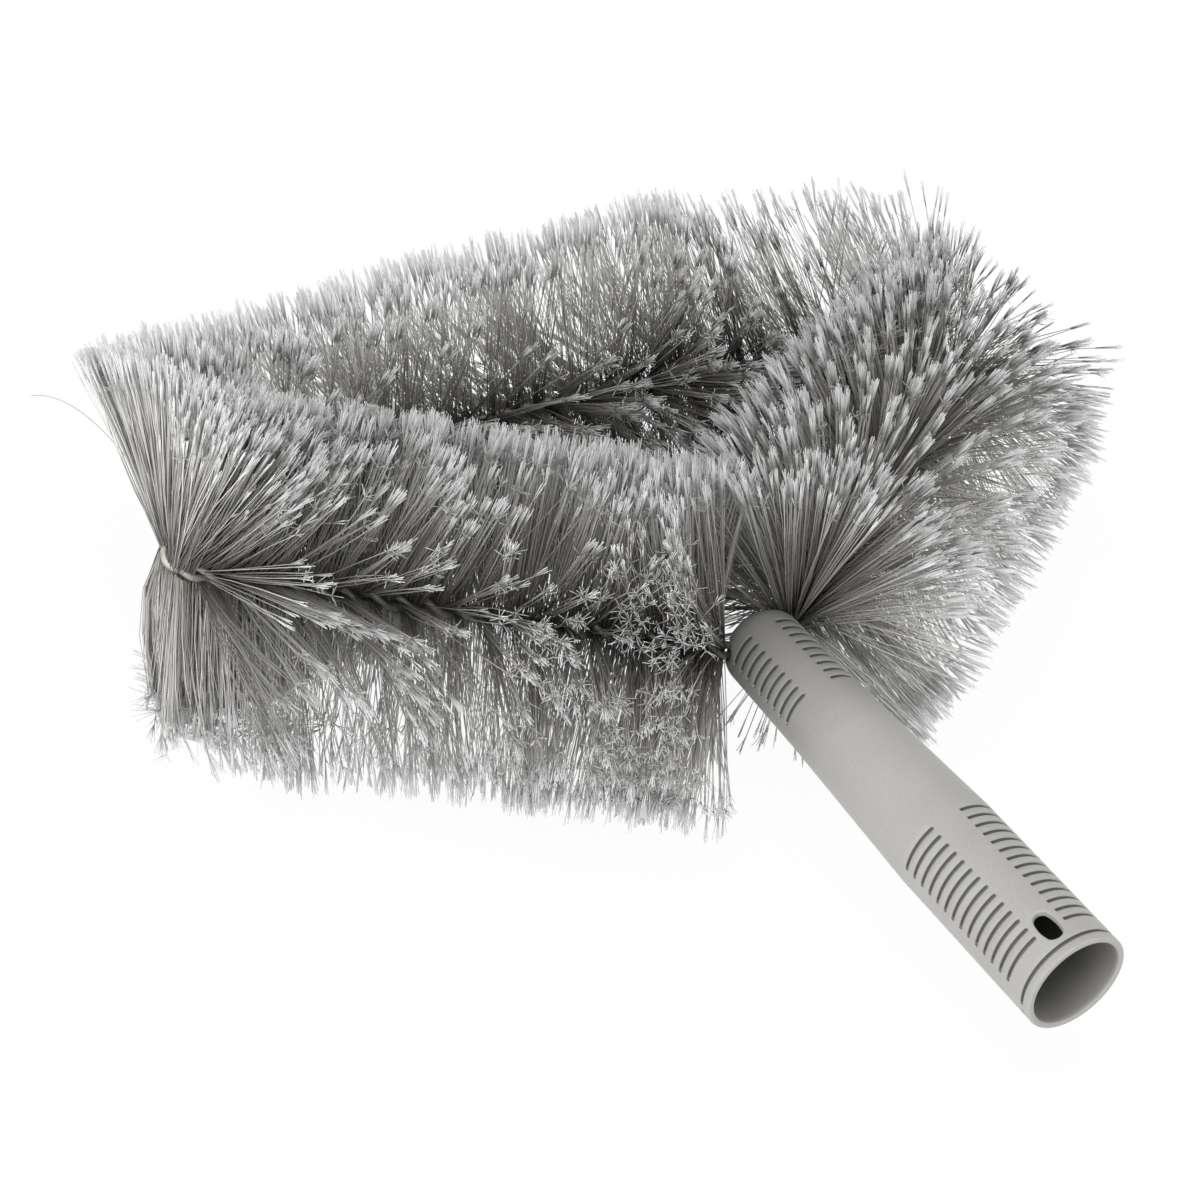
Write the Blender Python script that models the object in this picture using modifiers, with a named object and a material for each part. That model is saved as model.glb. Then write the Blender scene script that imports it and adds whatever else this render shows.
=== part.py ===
"""Cobweb brush head: a closed loop of twisted wire and bristles on a plastic pole socket.

The loop lies flat. +Y runs from the socket's mouth to the far side of the loop, +Z is up,
and the origin is under the middle of the part, on the surface that its bristles lie on.
Depths are measured along the socket from the tip of its dome towards its mouth.
"""
import math

import bmesh
import bpy
from mathutils import Matrix, Vector

MM = 0.001
DEG = math.pi / 180.0

# Loop of twisted wire, in its own plane, with y = 0 at the tip of the socket's dome
LOOP_HALF_SPAN = 151.0 * MM      # from the middle to the point where arm and far side would meet
CORNER_REACH = 94.3 * MM         # of that point beyond the dome
BASE_BOW = 22.5 * MM             # outward bow of the far side
BEND_RADIUS = 9.0 * MM           # of the wire at the two corners

# Twisted stem of two wires
STRAND_RADIUS = 1.15 * MM
STRAND_GAP = 0.3 * MM            # between the two wires, where the filaments are caught
LAY = 16.0 * MM                  # length of one full turn of the twist
POINTS_PER_TURN = 6
BORE_SIDES = 8
BORE_STEP = 25.0 * MM            # longest straight piece of a bored curve
BORE_TURN = 15.0 * DEG

# Wire tails inside the socket
TAIL_GAP = 1.9 * MM              # between the two tails
TAIL_BEND_DEPTH = 8.45 * MM      # where the line of an arm meets the line of its tail
TAIL_BEND_RADIUS = 8.0 * MM
TAIL_LEAD = 7.1 * MM             # straight tail above the ferrule
TAIL_STICKOUT = 2.0 * MM         # of the wire ends past the ferrule

# Bristles
BRISTLE_RADIUS = 54.5 * MM       # from the wire to the tips
BRISTLE_ROWS = 2                 # that wind round the wire with its twist, one out of each side
FURROW_DEPTH = 9.0 * MM          # between neighbouring rows, below their tips
ARM_BLOCKS = 6
BASE_BLOCKS = 10
BRISTLE_SIDES = 16
SWEEP = 12.0 * DEG               # how far the bristles lean back from a corner of the loop
BARE_CORNER = 13.0 * MM          # from a corner to the first bristles on either side

# Ferrule and plug
FERRULE_WALL = 1.0 * MM
FERRULE_LENGTH = 14.0 * MM
PLUG_BOSS_RADIUS = 6.5 * MM
PLUG_BOSS_LENGTH = 4.5 * MM
PLUG_LENGTH = 11.0 * MM
PLUG_WALL = 1.8 * MM
PLUG_CHAMFER = 0.6 * MM

# Socket
SOCKET_LENGTH = 153.7 * MM
SOCKET_SIDES = 32
DOME_FILLET = 7.0 * MM
FILLET_STEPS = 4
CROWN_WALL = 4.0 * MM            # from the dome's tip to the chamber for the tails
CHAMBER_CHAMFER = 3.5 * MM
CHAMBER_SPACE = 2.0 * MM         # round the ferrule
HEAD_WALL = 2.6 * MM             # round the chamber, under the dome
HEAD_FLARE = 0.8 * MM            # gain in radius down the head
HEAD_LENGTH = 39.7 * MM
SEAT_LEDGE = 1.8 * MM            # that the plug is pushed against
GRIP_LENGTH = 58.0 * MM          # of the widest part, next to the mouth
GRIP_FLARE = 0.15 * MM
MOUTH_BORE_RADIUS = 13.7 * MM
MOUTH_WALL = 1.9 * MM
LIP_CHAMFER = 0.4 * MM

# Grip slots and button slot
SLOT_DEPTH = 0.8 * MM
SLOT_WIDTH = 1.1 * MM
SLOT_BANDS = 4
FIRST_BAND_ANGLE = 67.5 * DEG    # round the socket from +X towards +Z
HEAD_SLOTS = 9
HEAD_SLOTS_START = 9.6 * MM
HEAD_SLOTS_LENGTH = 27.1 * MM
HEAD_SLOTS_SPREAD = 50.0 * DEG
GRIP_SLOTS = 14
GRIP_SLOTS_INSET = 9.7 * MM      # of the last slot from the mouth
GRIP_SLOTS_LENGTH = 45.6 * MM
GRIP_SLOTS_SPREAD = 56.0 * DEG
RING_INSET = 3.2 * MM            # of the two long slots from the mouth
RING_SPREAD = 172.0 * DEG
BUTTON_ANGLE = 112.5 * DEG
BUTTON_INSET = 10.3 * MM         # of the middle of the button slot from the mouth
BUTTON_LENGTH = 9.6 * MM
BUTTON_WIDTH = 6.0 * MM
BUTTON_SIDES = 8                 # straight pieces of each rounded end

# Clearances
GAP = 0.3 * MM                   # between pieces that touch on the real object
WIRE_CLEARANCE = 0.5 * MM        # round the twisted stem
OVERRUN = 2.0 * MM               # of a cutter past the surface that it cuts
MERGE = 0.01 * MM

HELIX_RADIUS = (STRAND_RADIUS + STRAND_GAP / 2.0) / math.cos(math.pi / POINTS_PER_TURN)
STEM_RADIUS = HELIX_RADIUS + STRAND_RADIUS
BORE_RADIUS = (STEM_RADIUS + WIRE_CLEARANCE) / math.cos(math.pi / BORE_SIDES)
TAIL_OFFSET = STEM_RADIUS + TAIL_GAP / 2.0

BASE_RADIUS = (LOOP_HALF_SPAN ** 2 + BASE_BOW ** 2) / (2.0 * BASE_BOW)
BASE_MIDDLE = Vector((0.0, CORNER_REACH + BASE_BOW, 0.0))
BASE_CENTRE = Vector((0.0, CORNER_REACH + BASE_BOW - BASE_RADIUS, 0.0))
CORNER = Vector((LOOP_HALF_SPAN, CORNER_REACH, 0.0))
TAIL_CORNER = Vector((TAIL_OFFSET, -TAIL_BEND_DEPTH, 0.0))
TAIL_TURN = math.atan2(CORNER.x - TAIL_CORNER.x, CORNER.y - TAIL_CORNER.y)
TAIL_TRIM = TAIL_BEND_RADIUS * math.tan(TAIL_TURN / 2.0)
TAIL_STRAIGHT = TAIL_LEAD + FERRULE_LENGTH + TAIL_STICKOUT
TAIL_END_DEPTH = TAIL_BEND_DEPTH + TAIL_TRIM + TAIL_STRAIGHT

CHAMBER_RADIUS = TAIL_OFFSET + STEM_RADIUS + GAP + FERRULE_WALL + CHAMBER_SPACE
SEAT_RADIUS = CHAMBER_RADIUS + SEAT_LEDGE
PLUG_TOP_DEPTH = TAIL_END_DEPTH + STRAND_RADIUS + GAP
SEAT_DEPTH = PLUG_TOP_DEPTH + PLUG_BOSS_LENGTH - GAP
PLUG_END_DEPTH = SEAT_DEPTH + PLUG_LENGTH
SHOULDER_RADIUS = CHAMBER_RADIUS + HEAD_WALL
HEAD_RADIUS = SHOULDER_RADIUS + HEAD_FLARE
MOUTH_RADIUS = MOUTH_BORE_RADIUS + MOUTH_WALL
GRIP_RADIUS = MOUTH_RADIUS - GRIP_FLARE
GRIP_DEPTH = SOCKET_LENGTH - GRIP_LENGTH

FAR_REACH = BASE_MIDDLE.y + BRISTLE_RADIUS
LOOP = Matrix.Translation((0.0, (SOCKET_LENGTH - FAR_REACH) / 2.0, BRISTLE_RADIUS))
DOWN_SOCKET = LOOP @ Matrix.Rotation(math.pi / 2.0, 4, "X")
UP_SOCKET = LOOP @ Matrix.Rotation(-math.pi / 2.0, 4, "X")
UP = Vector((0.0, 0.0, 1.0))


def clear_scene():
    for item in list(bpy.data.objects):
        bpy.data.objects.remove(item, do_unlink=True)


def new_collection(name):
    collection = bpy.data.collections.new(name)
    bpy.context.scene.collection.children.link(collection)
    return collection


def new_material(name, colour, roughness, metallic):
    material = bpy.data.materials.new(name)
    material.use_nodes = True
    shader = material.node_tree.nodes["Principled BSDF"]
    shader.inputs["Base Color"].default_value = (*colour, 1.0)
    shader.inputs["Roughness"].default_value = roughness
    shader.inputs["Metallic"].default_value = metallic
    material.diffuse_color = (*colour, 1.0)
    return material


def add_part(name, mesh, material, place):
    part = bpy.data.objects.new(name, mesh)
    part.matrix_world = place
    mesh.materials.clear()
    mesh.materials.append(material)
    parts.objects.link(part)
    return part


def add_cutter(name, mesh, place):
    cutter = bpy.data.objects.new(name, mesh)
    cutter.matrix_world = place
    cutter.display_type = "WIRE"
    cutter.hide_render = True
    cutters.objects.link(cutter)
    return cutter


def subtract(part, cutter):
    cut = part.modifiers.new("cut " + cutter.name, "BOOLEAN")
    cut.operation = "DIFFERENCE"
    cut.solver = "EXACT"
    cut.object = cutter


def curve_mesh(curve):
    """The closed mesh of a curve, with its loose caps welded on."""
    holder = bpy.data.objects.new(curve.name, curve)
    cutters.objects.link(holder)
    bpy.context.view_layer.update()
    evaluated = holder.evaluated_get(bpy.context.evaluated_depsgraph_get())
    mesh = bpy.data.meshes.new_from_object(evaluated)
    bpy.data.objects.remove(holder, do_unlink=True)
    bpy.data.curves.remove(curve)
    shape = bmesh.new()
    shape.from_mesh(mesh)
    bmesh.ops.remove_doubles(shape, verts=shape.verts, dist=MERGE)
    bmesh.ops.recalc_face_normals(shape, faces=shape.faces)
    shape.to_mesh(mesh)
    shape.free()
    return mesh


def tube_curve(name, points, radius):
    curve = bpy.data.curves.new(name, "CURVE")
    curve.dimensions = "3D"
    curve.bevel_depth = radius
    curve.bevel_resolution = 2
    curve.use_fill_caps = True
    spline = curve.splines.new("POLY")
    spline.points.add(len(points) - 1)
    for target, point in zip(spline.points, points):
        target.co = (*point, 1.0)
    return curve


def outline_mesh(name, outlines, thickness):
    """A flat plate with these outlines, centred on its own plane; an outline inside one is a hole."""
    curve = bpy.data.curves.new(name, "CURVE")
    curve.dimensions = "2D"
    curve.fill_mode = "BOTH"
    curve.extrude = thickness / 2.0
    for outline in outlines:
        spline = curve.splines.new("POLY")
        spline.points.add(len(outline) - 1)
        for target, point in zip(spline.points, outline):
            target.co = (point[0], point[1], 0.0, 1.0)
        spline.use_cyclic_u = True
    return curve_mesh(curve)


def profile_mesh(name, profile):
    """An open line through (radius, depth) points, to be turned about the socket's axis."""
    mesh = bpy.data.meshes.new(name)
    points = [(radius, 0.0, -depth) for radius, depth in profile]
    edges = [(index, index + 1) for index in range(len(points) - 1)]
    mesh.from_pydata(points, edges, [])
    return mesh


def turn_profile(holder):
    turn = holder.modifiers.new("turn", "SCREW")
    turn.steps = SOCKET_SIDES
    turn.render_steps = SOCKET_SIDES
    turn.use_merge_vertices = True
    turn.merge_threshold = MERGE


def sideways(vector):
    """The in-plane direction a quarter turn to the left."""
    return Vector((-vector.y, vector.x, 0.0))


def wire_runs():
    """Half of the wire's centre line, from the middle of the far side to the end of a tail.

    Each run is its length and how far it turns to the left.
    """
    arm = (TAIL_CORNER - CORNER).normalized()
    to_line = CORNER - sideways(arm) * BEND_RADIUS - BASE_CENTRE
    along = to_line.dot(arm)
    reach = BASE_RADIUS - BEND_RADIUS
    trim = -along - math.sqrt(along ** 2 - to_line.length_squared + reach ** 2)
    bend_centre = to_line + arm * trim
    base_turn = math.atan2(bend_centre.x, bend_centre.y)
    bend_turn = math.pi / 2.0 + TAIL_TURN - base_turn
    arm_run = (TAIL_CORNER - CORNER).length - trim - TAIL_TRIM
    return [
        (BASE_RADIUS * base_turn, -base_turn),
        (BEND_RADIUS * bend_turn, -bend_turn),
        (arm_run, 0.0),
        (TAIL_BEND_RADIUS * TAIL_TURN, TAIL_TURN),
        (TAIL_STRAIGHT, 0.0),
    ]


def wire_place(runs, distance):
    """Centre point and outward direction of the wire; distance is negative on the left."""
    centre = BASE_MIDDLE.copy()
    heading = 0.0
    left = abs(distance)
    for length, turn in runs:
        step = min(left, length)
        half_turn = turn * step / length / 2.0
        chord = step * math.sin(half_turn) / half_turn if half_turn else step
        course = heading + half_turn
        centre += chord * Vector((math.cos(course), math.sin(course), 0.0))
        heading += 2.0 * half_turn
        left -= step
    outward = Vector((-math.sin(heading), math.cos(heading), 0.0))
    if distance < 0.0:
        centre.x = -centre.x
        outward.x = -outward.x
    return centre, outward


def strand_points(runs, phase):
    half = sum(length for length, turn in runs)
    count = round(2.0 * half / LAY * POINTS_PER_TURN)
    points = []
    for index in range(count + 1):
        distance = half * (2.0 * index / count - 1.0)
        centre, outward = wire_place(runs, distance)
        angle = 2.0 * math.pi * distance / LAY + phase
        offset = outward * math.cos(angle) + UP * math.sin(angle)
        points.append(centre + offset * HELIX_RADIUS)
    return points


def bore_points(runs):
    """Points of the tube that clears the stem, with few on its straight runs."""
    distances = [0.0]
    for length, turn in runs:
        pieces = math.ceil(max(abs(turn) / BORE_TURN, length / BORE_STEP)) if turn else 1
        start = distances[-1]
        distances += [start + length * (index + 1) / pieces for index in range(pieces)]
    distances[-1] += OVERRUN
    both = [-distance for distance in reversed(distances[1:])] + distances
    return [wire_place(runs, distance)[0] for distance in both]


def make_wires(runs):
    steel = new_material("galvanised steel", (0.62, 0.61, 0.57), 0.35, 1.0)
    for name, phase in (("wire_strand_a", 0.0), ("wire_strand_b", math.pi)):
        curve = tube_curve(name, strand_points(runs, phase), STRAND_RADIUS)
        wire = add_part(name, curve_mesh(curve), steel, LOOP)
        wire.data.shade_smooth()


def outer_radius(depth):
    """Radius of the socket's outside below its dome."""
    stations = (
        (DOME_FILLET, SHOULDER_RADIUS),
        (HEAD_LENGTH, HEAD_RADIUS),
        (GRIP_DEPTH, GRIP_RADIUS),
        (SOCKET_LENGTH, MOUTH_RADIUS),
    )
    for (above, first), (below, last) in zip(stations, stations[1:]):
        if depth <= below:
            return first + (last - first) * (depth - above) / (below - above)
    return MOUTH_RADIUS


def outer_profile(grow):
    """The socket's outside from the tip of the dome down to the lip, grown by a clearance."""
    profile = [(0.0, -grow)]
    flat = SHOULDER_RADIUS - DOME_FILLET
    for step in range(FILLET_STEPS + 1):
        angle = math.pi / 2.0 * step / FILLET_STEPS
        radius = flat + (DOME_FILLET + grow) * math.sin(angle)
        profile.append((radius, DOME_FILLET - (DOME_FILLET + grow) * math.cos(angle)))
    profile.append((HEAD_RADIUS + grow, HEAD_LENGTH))
    profile.append((GRIP_RADIUS + grow, GRIP_DEPTH))
    return profile


def inner_profile():
    """The inside from the mouth up to the crown of the chamber."""
    return [
        (MOUTH_BORE_RADIUS + LIP_CHAMFER, SOCKET_LENGTH),
        (MOUTH_BORE_RADIUS, SOCKET_LENGTH - LIP_CHAMFER),
        (SEAT_RADIUS, PLUG_END_DEPTH + GAP),
        (SEAT_RADIUS, SEAT_DEPTH),
        (CHAMBER_RADIUS, SEAT_DEPTH),
        (CHAMBER_RADIUS, CROWN_WALL + CHAMBER_CHAMFER),
        (CHAMBER_RADIUS - CHAMBER_CHAMFER, CROWN_WALL),
        (0.0, CROWN_WALL),
    ]


def arc_slot(depth, middle, spread):
    """Outline of a slot that runs round the socket, on the socket's own flat sides."""
    side = 2.0 * math.pi / SOCKET_SIDES
    first = middle - spread / 2.0
    last = middle + spread / 2.0
    corners = range(math.floor(first / side) + 1, math.ceil(last / side))
    angles = [first] + [corner * side for corner in corners] + [last]
    outside = outer_radius(depth) + OVERRUN
    inside = outer_radius(depth) - SLOT_DEPTH
    ends = [(outside, angle) for angle in angles] + [(inside, angle) for angle in reversed(angles)]
    return [(radius * math.cos(angle), radius * math.sin(angle)) for radius, angle in ends]


def slot_rings():
    """Depth, middle angles and spread of every ring of slots."""
    bands = [FIRST_BAND_ANGLE + index * 2.0 * math.pi / SLOT_BANDS for index in range(SLOT_BANDS)]
    rings = []
    grip_start = SOCKET_LENGTH - GRIP_SLOTS_INSET - GRIP_SLOTS_LENGTH
    for count, start, length, spread in (
        (HEAD_SLOTS, HEAD_SLOTS_START, HEAD_SLOTS_LENGTH, HEAD_SLOTS_SPREAD),
        (GRIP_SLOTS, grip_start, GRIP_SLOTS_LENGTH, GRIP_SLOTS_SPREAD),
    ):
        for index in range(count):
            rings.append((start + length * index / (count - 1), bands, spread))
    halves = [BUTTON_ANGLE, BUTTON_ANGLE + math.pi]
    rings.append((SOCKET_LENGTH - RING_INSET, halves, RING_SPREAD))
    return rings


def make_slot_cutter():
    joined = bmesh.new()
    for depth, middles, spread in slot_rings():
        outlines = [arc_slot(depth, middle, spread) for middle in middles]
        ring = outline_mesh("slot ring", outlines, SLOT_WIDTH)
        ring.transform(Matrix.Translation((0.0, 0.0, depth)))
        joined.from_mesh(ring)
        bpy.data.meshes.remove(ring)
    mesh = bpy.data.meshes.new("grip slots")
    joined.to_mesh(mesh)
    joined.free()
    return add_cutter("grip_slots", mesh, DOWN_SOCKET)


def rounded_slot(half_length, radius, steps):
    """Outline with two half circles whose middles lie this far from the centre along x."""
    outline = []
    for end in (0, 1):
        for step in range(steps + 1):
            angle = math.pi * (step / steps + end) - math.pi / 2.0
            shift = half_length if end == 0 else -half_length
            outline.append((shift + radius * math.cos(angle), radius * math.sin(angle)))
    return outline


def make_button_cutter():
    """The slot for the spring button, cut through one wall only."""
    radius = BUTTON_WIDTH / 2.0
    outline = rounded_slot((BUTTON_LENGTH - BUTTON_WIDTH) / 2.0, radius, BUTTON_SIDES)
    inside = min(SEAT_RADIUS, MOUTH_BORE_RADIUS) - OVERRUN
    outside = MOUTH_RADIUS + OVERRUN
    mesh = outline_mesh("button slot", [outline], outside - inside)
    spin = Matrix.Rotation(BUTTON_ANGLE, 4, "Z")
    lift = Matrix.Translation(((inside + outside) / 2.0, 0.0, SOCKET_LENGTH - BUTTON_INSET))
    lay_down = Matrix.Rotation(math.pi / 2.0, 4, "Y")
    return add_cutter("button_slot", mesh, DOWN_SOCKET @ spin @ lift @ lay_down)


def make_socket(stem_bore):
    plastic = new_material("grey plastic", (0.40, 0.39, 0.37), 0.45, 0.0)
    lip = [
        (MOUTH_RADIUS, SOCKET_LENGTH - LIP_CHAMFER),
        (MOUTH_RADIUS - LIP_CHAMFER, SOCKET_LENGTH),
    ]
    profile = outer_profile(0.0) + lip + inner_profile()
    socket = add_part("socket", profile_mesh("socket", profile), plastic, UP_SOCKET)
    turn_profile(socket)
    subtract(socket, stem_bore)
    subtract(socket, make_slot_cutter())
    subtract(socket, make_button_cutter())


def make_ferrule():
    steel = new_material("zinc plated steel", (0.55, 0.55, 0.54), 0.4, 1.0)
    inside = STEM_RADIUS + GAP
    outlines = [
        rounded_slot(TAIL_OFFSET, radius / math.cos(math.pi / 2.0 / BORE_SIDES), BORE_SIDES)
        for radius in (inside + FERRULE_WALL, inside)
    ]
    mesh = outline_mesh("crimp ferrule", outlines, FERRULE_LENGTH)
    depth = TAIL_END_DEPTH - TAIL_STICKOUT - FERRULE_LENGTH / 2.0
    add_part("crimp_ferrule", mesh, steel, DOWN_SOCKET @ Matrix.Translation((0.0, 0.0, depth)))


def make_plug():
    plastic = new_material("dark plastic", (0.10, 0.10, 0.11), 0.5, 0.0)
    radius = SEAT_RADIUS - GAP
    top = SEAT_DEPTH + GAP
    profile = [
        (0.0, PLUG_TOP_DEPTH),
        (PLUG_BOSS_RADIUS, PLUG_TOP_DEPTH),
        (PLUG_BOSS_RADIUS, top),
        (radius, top),
        (radius, PLUG_END_DEPTH - PLUG_CHAMFER),
        (radius - PLUG_CHAMFER, PLUG_END_DEPTH),
        (radius - PLUG_WALL, PLUG_END_DEPTH),
        (radius - PLUG_WALL, top + PLUG_WALL),
        (0.0, top + PLUG_WALL),
    ]
    turn_profile(add_part("retaining_plug", profile_mesh("plug", profile), plastic, UP_SOCKET))


def trim(shape, point, away):
    """Takes off what lies beyond the plane."""
    geometry = shape.verts[:] + shape.edges[:] + shape.faces[:]
    bmesh.ops.bisect_plane(
        shape, geom=geometry, plane_co=point, plane_no=away, clear_outer=True
    )


def close_rims(shape):
    rim = [edge for edge in shape.edges if edge.is_boundary]
    if rim:
        bmesh.ops.edgeloop_fill(shape, edges=rim)


def drop_crumbs(shape):
    """Takes off the ends of rows that the planes have parted from the rest."""
    pieces = []
    left = set(shape.verts)
    while left:
        piece = {left.pop()}
        ahead = list(piece)
        while ahead:
            vert = ahead.pop()
            beside = {edge.other_vert(vert) for edge in vert.link_edges} - piece
            piece |= beside
            ahead.extend(beside)
        left -= piece
        pieces.append(piece)
    pieces.sort(key=len)
    for piece in pieces[:-1]:
        bmesh.ops.delete(shape, geom=list(piece), context="VERTS")


def wound_rows(length, phase):
    """A screw of bristle tips about Z, open at both ends, that reaches past 0 and the length.

    The rows follow the lay of the wires. At the angle phase from X a row passes Z = 0.
    """
    pitch = LAY / BRISTLE_ROWS
    half_side = math.pi / BRISTLE_SIDES
    tip_radius = BRISTLE_RADIUS / math.cos(half_side)
    furrow_radius = (BRISTLE_RADIUS - FURROW_DEPTH) / math.cos(half_side)
    first = LAY * (half_side - phase) / (2.0 * math.pi)
    low = math.floor((-LAY - first) / pitch) - 1
    high = math.ceil((length - first) / pitch) + 1
    points = []
    for row in range(low, high + 1):
        points.append((tip_radius, 0.0, first + row * pitch))
        points.append((furrow_radius, 0.0, first + (row + 0.5) * pitch))
    shape = bmesh.new()
    verts = [shape.verts.new(point) for point in points]
    edges = [shape.edges.new(pair) for pair in zip(verts, verts[1:])]
    bmesh.ops.spin(
        shape,
        geom=verts + edges,
        axis=UP,
        cent=(0.0, 0.0, 0.0),
        dvec=UP * (LAY / BRISTLE_SIDES),
        angle=2.0 * math.pi,
        steps=BRISTLE_SIDES,
    )
    bmesh.ops.remove_doubles(shape, verts=shape.verts, dist=MERGE)
    bmesh.ops.rotate(shape, verts=shape.verts, matrix=Matrix.Rotation(half_side, 3, "Z"))
    bmesh.ops.triangulate(shape, faces=shape.faces)
    return shape


def bristle_block(name, start, end, phase, planes, material):
    """Bristles along a straight stretch of the wire, cut by planes given as point and side to drop.

    The phase is the angle of a row at the start, from straight up.
    """
    along = (end - start).normalized()
    frame = Matrix((UP, along.cross(UP), along)).transposed().to_4x4()
    first = start - along * BRISTLE_RADIUS
    last = end + along * BRISTLE_RADIUS
    phase_at_first = phase - 2.0 * math.pi * BRISTLE_RADIUS / LAY
    shape = wound_rows((last - first).length, phase_at_first)
    bmesh.ops.transform(shape, matrix=Matrix.Translation(first) @ frame, verts=shape.verts)
    trim(shape, first, -along)
    trim(shape, last, along)
    close_rims(shape)
    for point, away in planes:
        trim(shape, point - away * (GAP / 2.0), away)
        close_rims(shape)
    drop_crumbs(shape)
    bmesh.ops.recalc_face_normals(shape, faces=shape.faces)
    mesh = bpy.data.meshes.new(name)
    shape.to_mesh(mesh)
    shape.free()
    return add_part(name, mesh, material, LOOP)


def mirrored(vector, side):
    return Vector((side * vector.x, vector.y, 0.0))


def corner_planes(side):
    """The planes at a corner of the loop, each a point and the side that it drops.

    The mitre parts arm from far side: an arm loses what lies beyond it. The other two end the
    bristles of arm and far side short of the bare corner, and lean back from it as they do.
    """
    corner = mirrored(CORNER, side)
    to_socket = (mirrored(TAIL_CORNER, side) - corner).normalized()
    to_middle = (BASE_MIDDLE - corner).normalized()
    onward = -side * sideways(corner - BASE_CENTRE).normalized()
    mitre = -side * sideways((to_socket + to_middle).normalized())
    arm_end = Matrix.Rotation(-side * SWEEP, 3, "Z") @ -to_socket
    base_end = Matrix.Rotation(side * SWEEP, 3, "Z") @ onward
    return {
        "mitre": (corner, mitre),
        "arm end": (corner + to_socket * BARE_CORNER, arm_end),
        "base end": (corner - onward * BARE_CORNER, base_end),
    }


def make_arm(side, name, runs, material, stem_bore, socket_space):
    base_run, bend_run, arm_run = (length for length, turn in runs[:3])
    bend_trim = (CORNER - TAIL_CORNER).length - TAIL_TRIM - arm_run
    to_corner = base_run + bend_run - bend_trim
    planes_here = corner_planes(side)
    corner = mirrored(CORNER, side)
    to_socket = (mirrored(TAIL_CORNER, side) - corner).normalized()
    dome_tip = Vector((0.0, 0.0, 0.0))
    first = corner - to_socket * corner.dot(to_socket)
    for index in range(ARM_BLOCKS):
        start = first.lerp(corner, index / ARM_BLOCKS)
        end = first.lerp(corner, (index + 1) / ARM_BLOCKS)
        planes = [
            (start, to_socket),
            (dome_tip, Vector((-side, 0.0, 0.0))),
            planes_here["mitre"],
            planes_here["arm end"],
        ]
        if index < ARM_BLOCKS - 1:
            planes.append((end, -to_socket))
        phase = -2.0 * math.pi * (to_corner + (corner - start).length) / LAY
        block = bristle_block(f"{name}_{index + 1}", start, end, phase, planes, material)
        subtract(block, stem_bore)
        if index == 0:
            subtract(block, socket_space)


def make_base(material, stem_bore):
    half_angle = math.asin(CORNER.x / BASE_RADIUS)
    angles = [half_angle * (2.0 * index / BASE_BLOCKS - 1.0) for index in range(BASE_BLOCKS + 1)]
    stations = [Vector((math.sin(angle), math.cos(angle), 0.0)) for angle in angles]
    for index in range(BASE_BLOCKS):
        start = BASE_CENTRE + stations[index] * BASE_RADIUS
        end = BASE_CENTRE + stations[index + 1] * BASE_RADIUS
        planes = []
        for planes_here in (corner_planes(-1.0), corner_planes(1.0)):
            corner, mitre = planes_here["mitre"]
            planes += [(corner, -mitre), planes_here["base end"]]
        if index > 0:
            planes.append((start, sideways(stations[index])))
        if index < BASE_BLOCKS - 1:
            planes.append((end, -sideways(stations[index + 1])))
        phase = 2.0 * math.pi * BASE_RADIUS * angles[index] / LAY
        block = bristle_block(f"bristles_base_{index + 1}", start, end, phase, planes, material)
        subtract(block, stem_bore)


def make_bristles(runs, stem_bore):
    filament = new_material("grey filament", (0.42, 0.41, 0.40), 0.6, 0.0)
    space_profile = outer_profile(GAP) + [(0.0, GRIP_DEPTH)]
    socket_space = add_cutter("socket_space", profile_mesh("space", space_profile), UP_SOCKET)
    turn_profile(socket_space)
    make_arm(-1.0, "bristles_left_arm", runs, filament, stem_bore, socket_space)
    make_arm(1.0, "bristles_right_arm", runs, filament, stem_bore, socket_space)
    make_base(filament, stem_bore)


def build():
    runs = wire_runs()
    bore = tube_curve("stem bore", bore_points(runs), BORE_RADIUS)
    stem_bore = add_cutter("stem_bore", curve_mesh(bore), LOOP)
    make_socket(stem_bore)
    make_wires(runs)
    make_ferrule()
    make_plug()
    make_bristles(runs, stem_bore)


clear_scene()
parts = new_collection("cobweb_brush")
cutters = new_collection("cutters")
build()
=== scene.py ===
import math

import bmesh
import bpy
import numpy as np
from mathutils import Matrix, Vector


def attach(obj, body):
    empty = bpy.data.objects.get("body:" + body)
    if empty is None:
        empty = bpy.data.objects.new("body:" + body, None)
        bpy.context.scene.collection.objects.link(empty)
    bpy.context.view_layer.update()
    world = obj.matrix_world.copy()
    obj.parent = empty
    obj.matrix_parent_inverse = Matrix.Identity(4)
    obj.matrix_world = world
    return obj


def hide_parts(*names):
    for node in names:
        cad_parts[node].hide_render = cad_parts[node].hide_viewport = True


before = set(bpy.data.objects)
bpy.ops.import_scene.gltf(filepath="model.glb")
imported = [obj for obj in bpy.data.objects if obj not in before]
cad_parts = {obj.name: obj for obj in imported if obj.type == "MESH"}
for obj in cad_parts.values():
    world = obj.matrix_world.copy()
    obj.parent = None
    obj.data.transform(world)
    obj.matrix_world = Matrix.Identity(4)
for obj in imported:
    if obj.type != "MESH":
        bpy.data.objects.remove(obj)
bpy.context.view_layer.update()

MM = 0.001
DEG = math.pi / 180.0
FULL_TURN = 2.0 * math.pi
UP = np.array((0.0, 0.0, 1.0))

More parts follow.
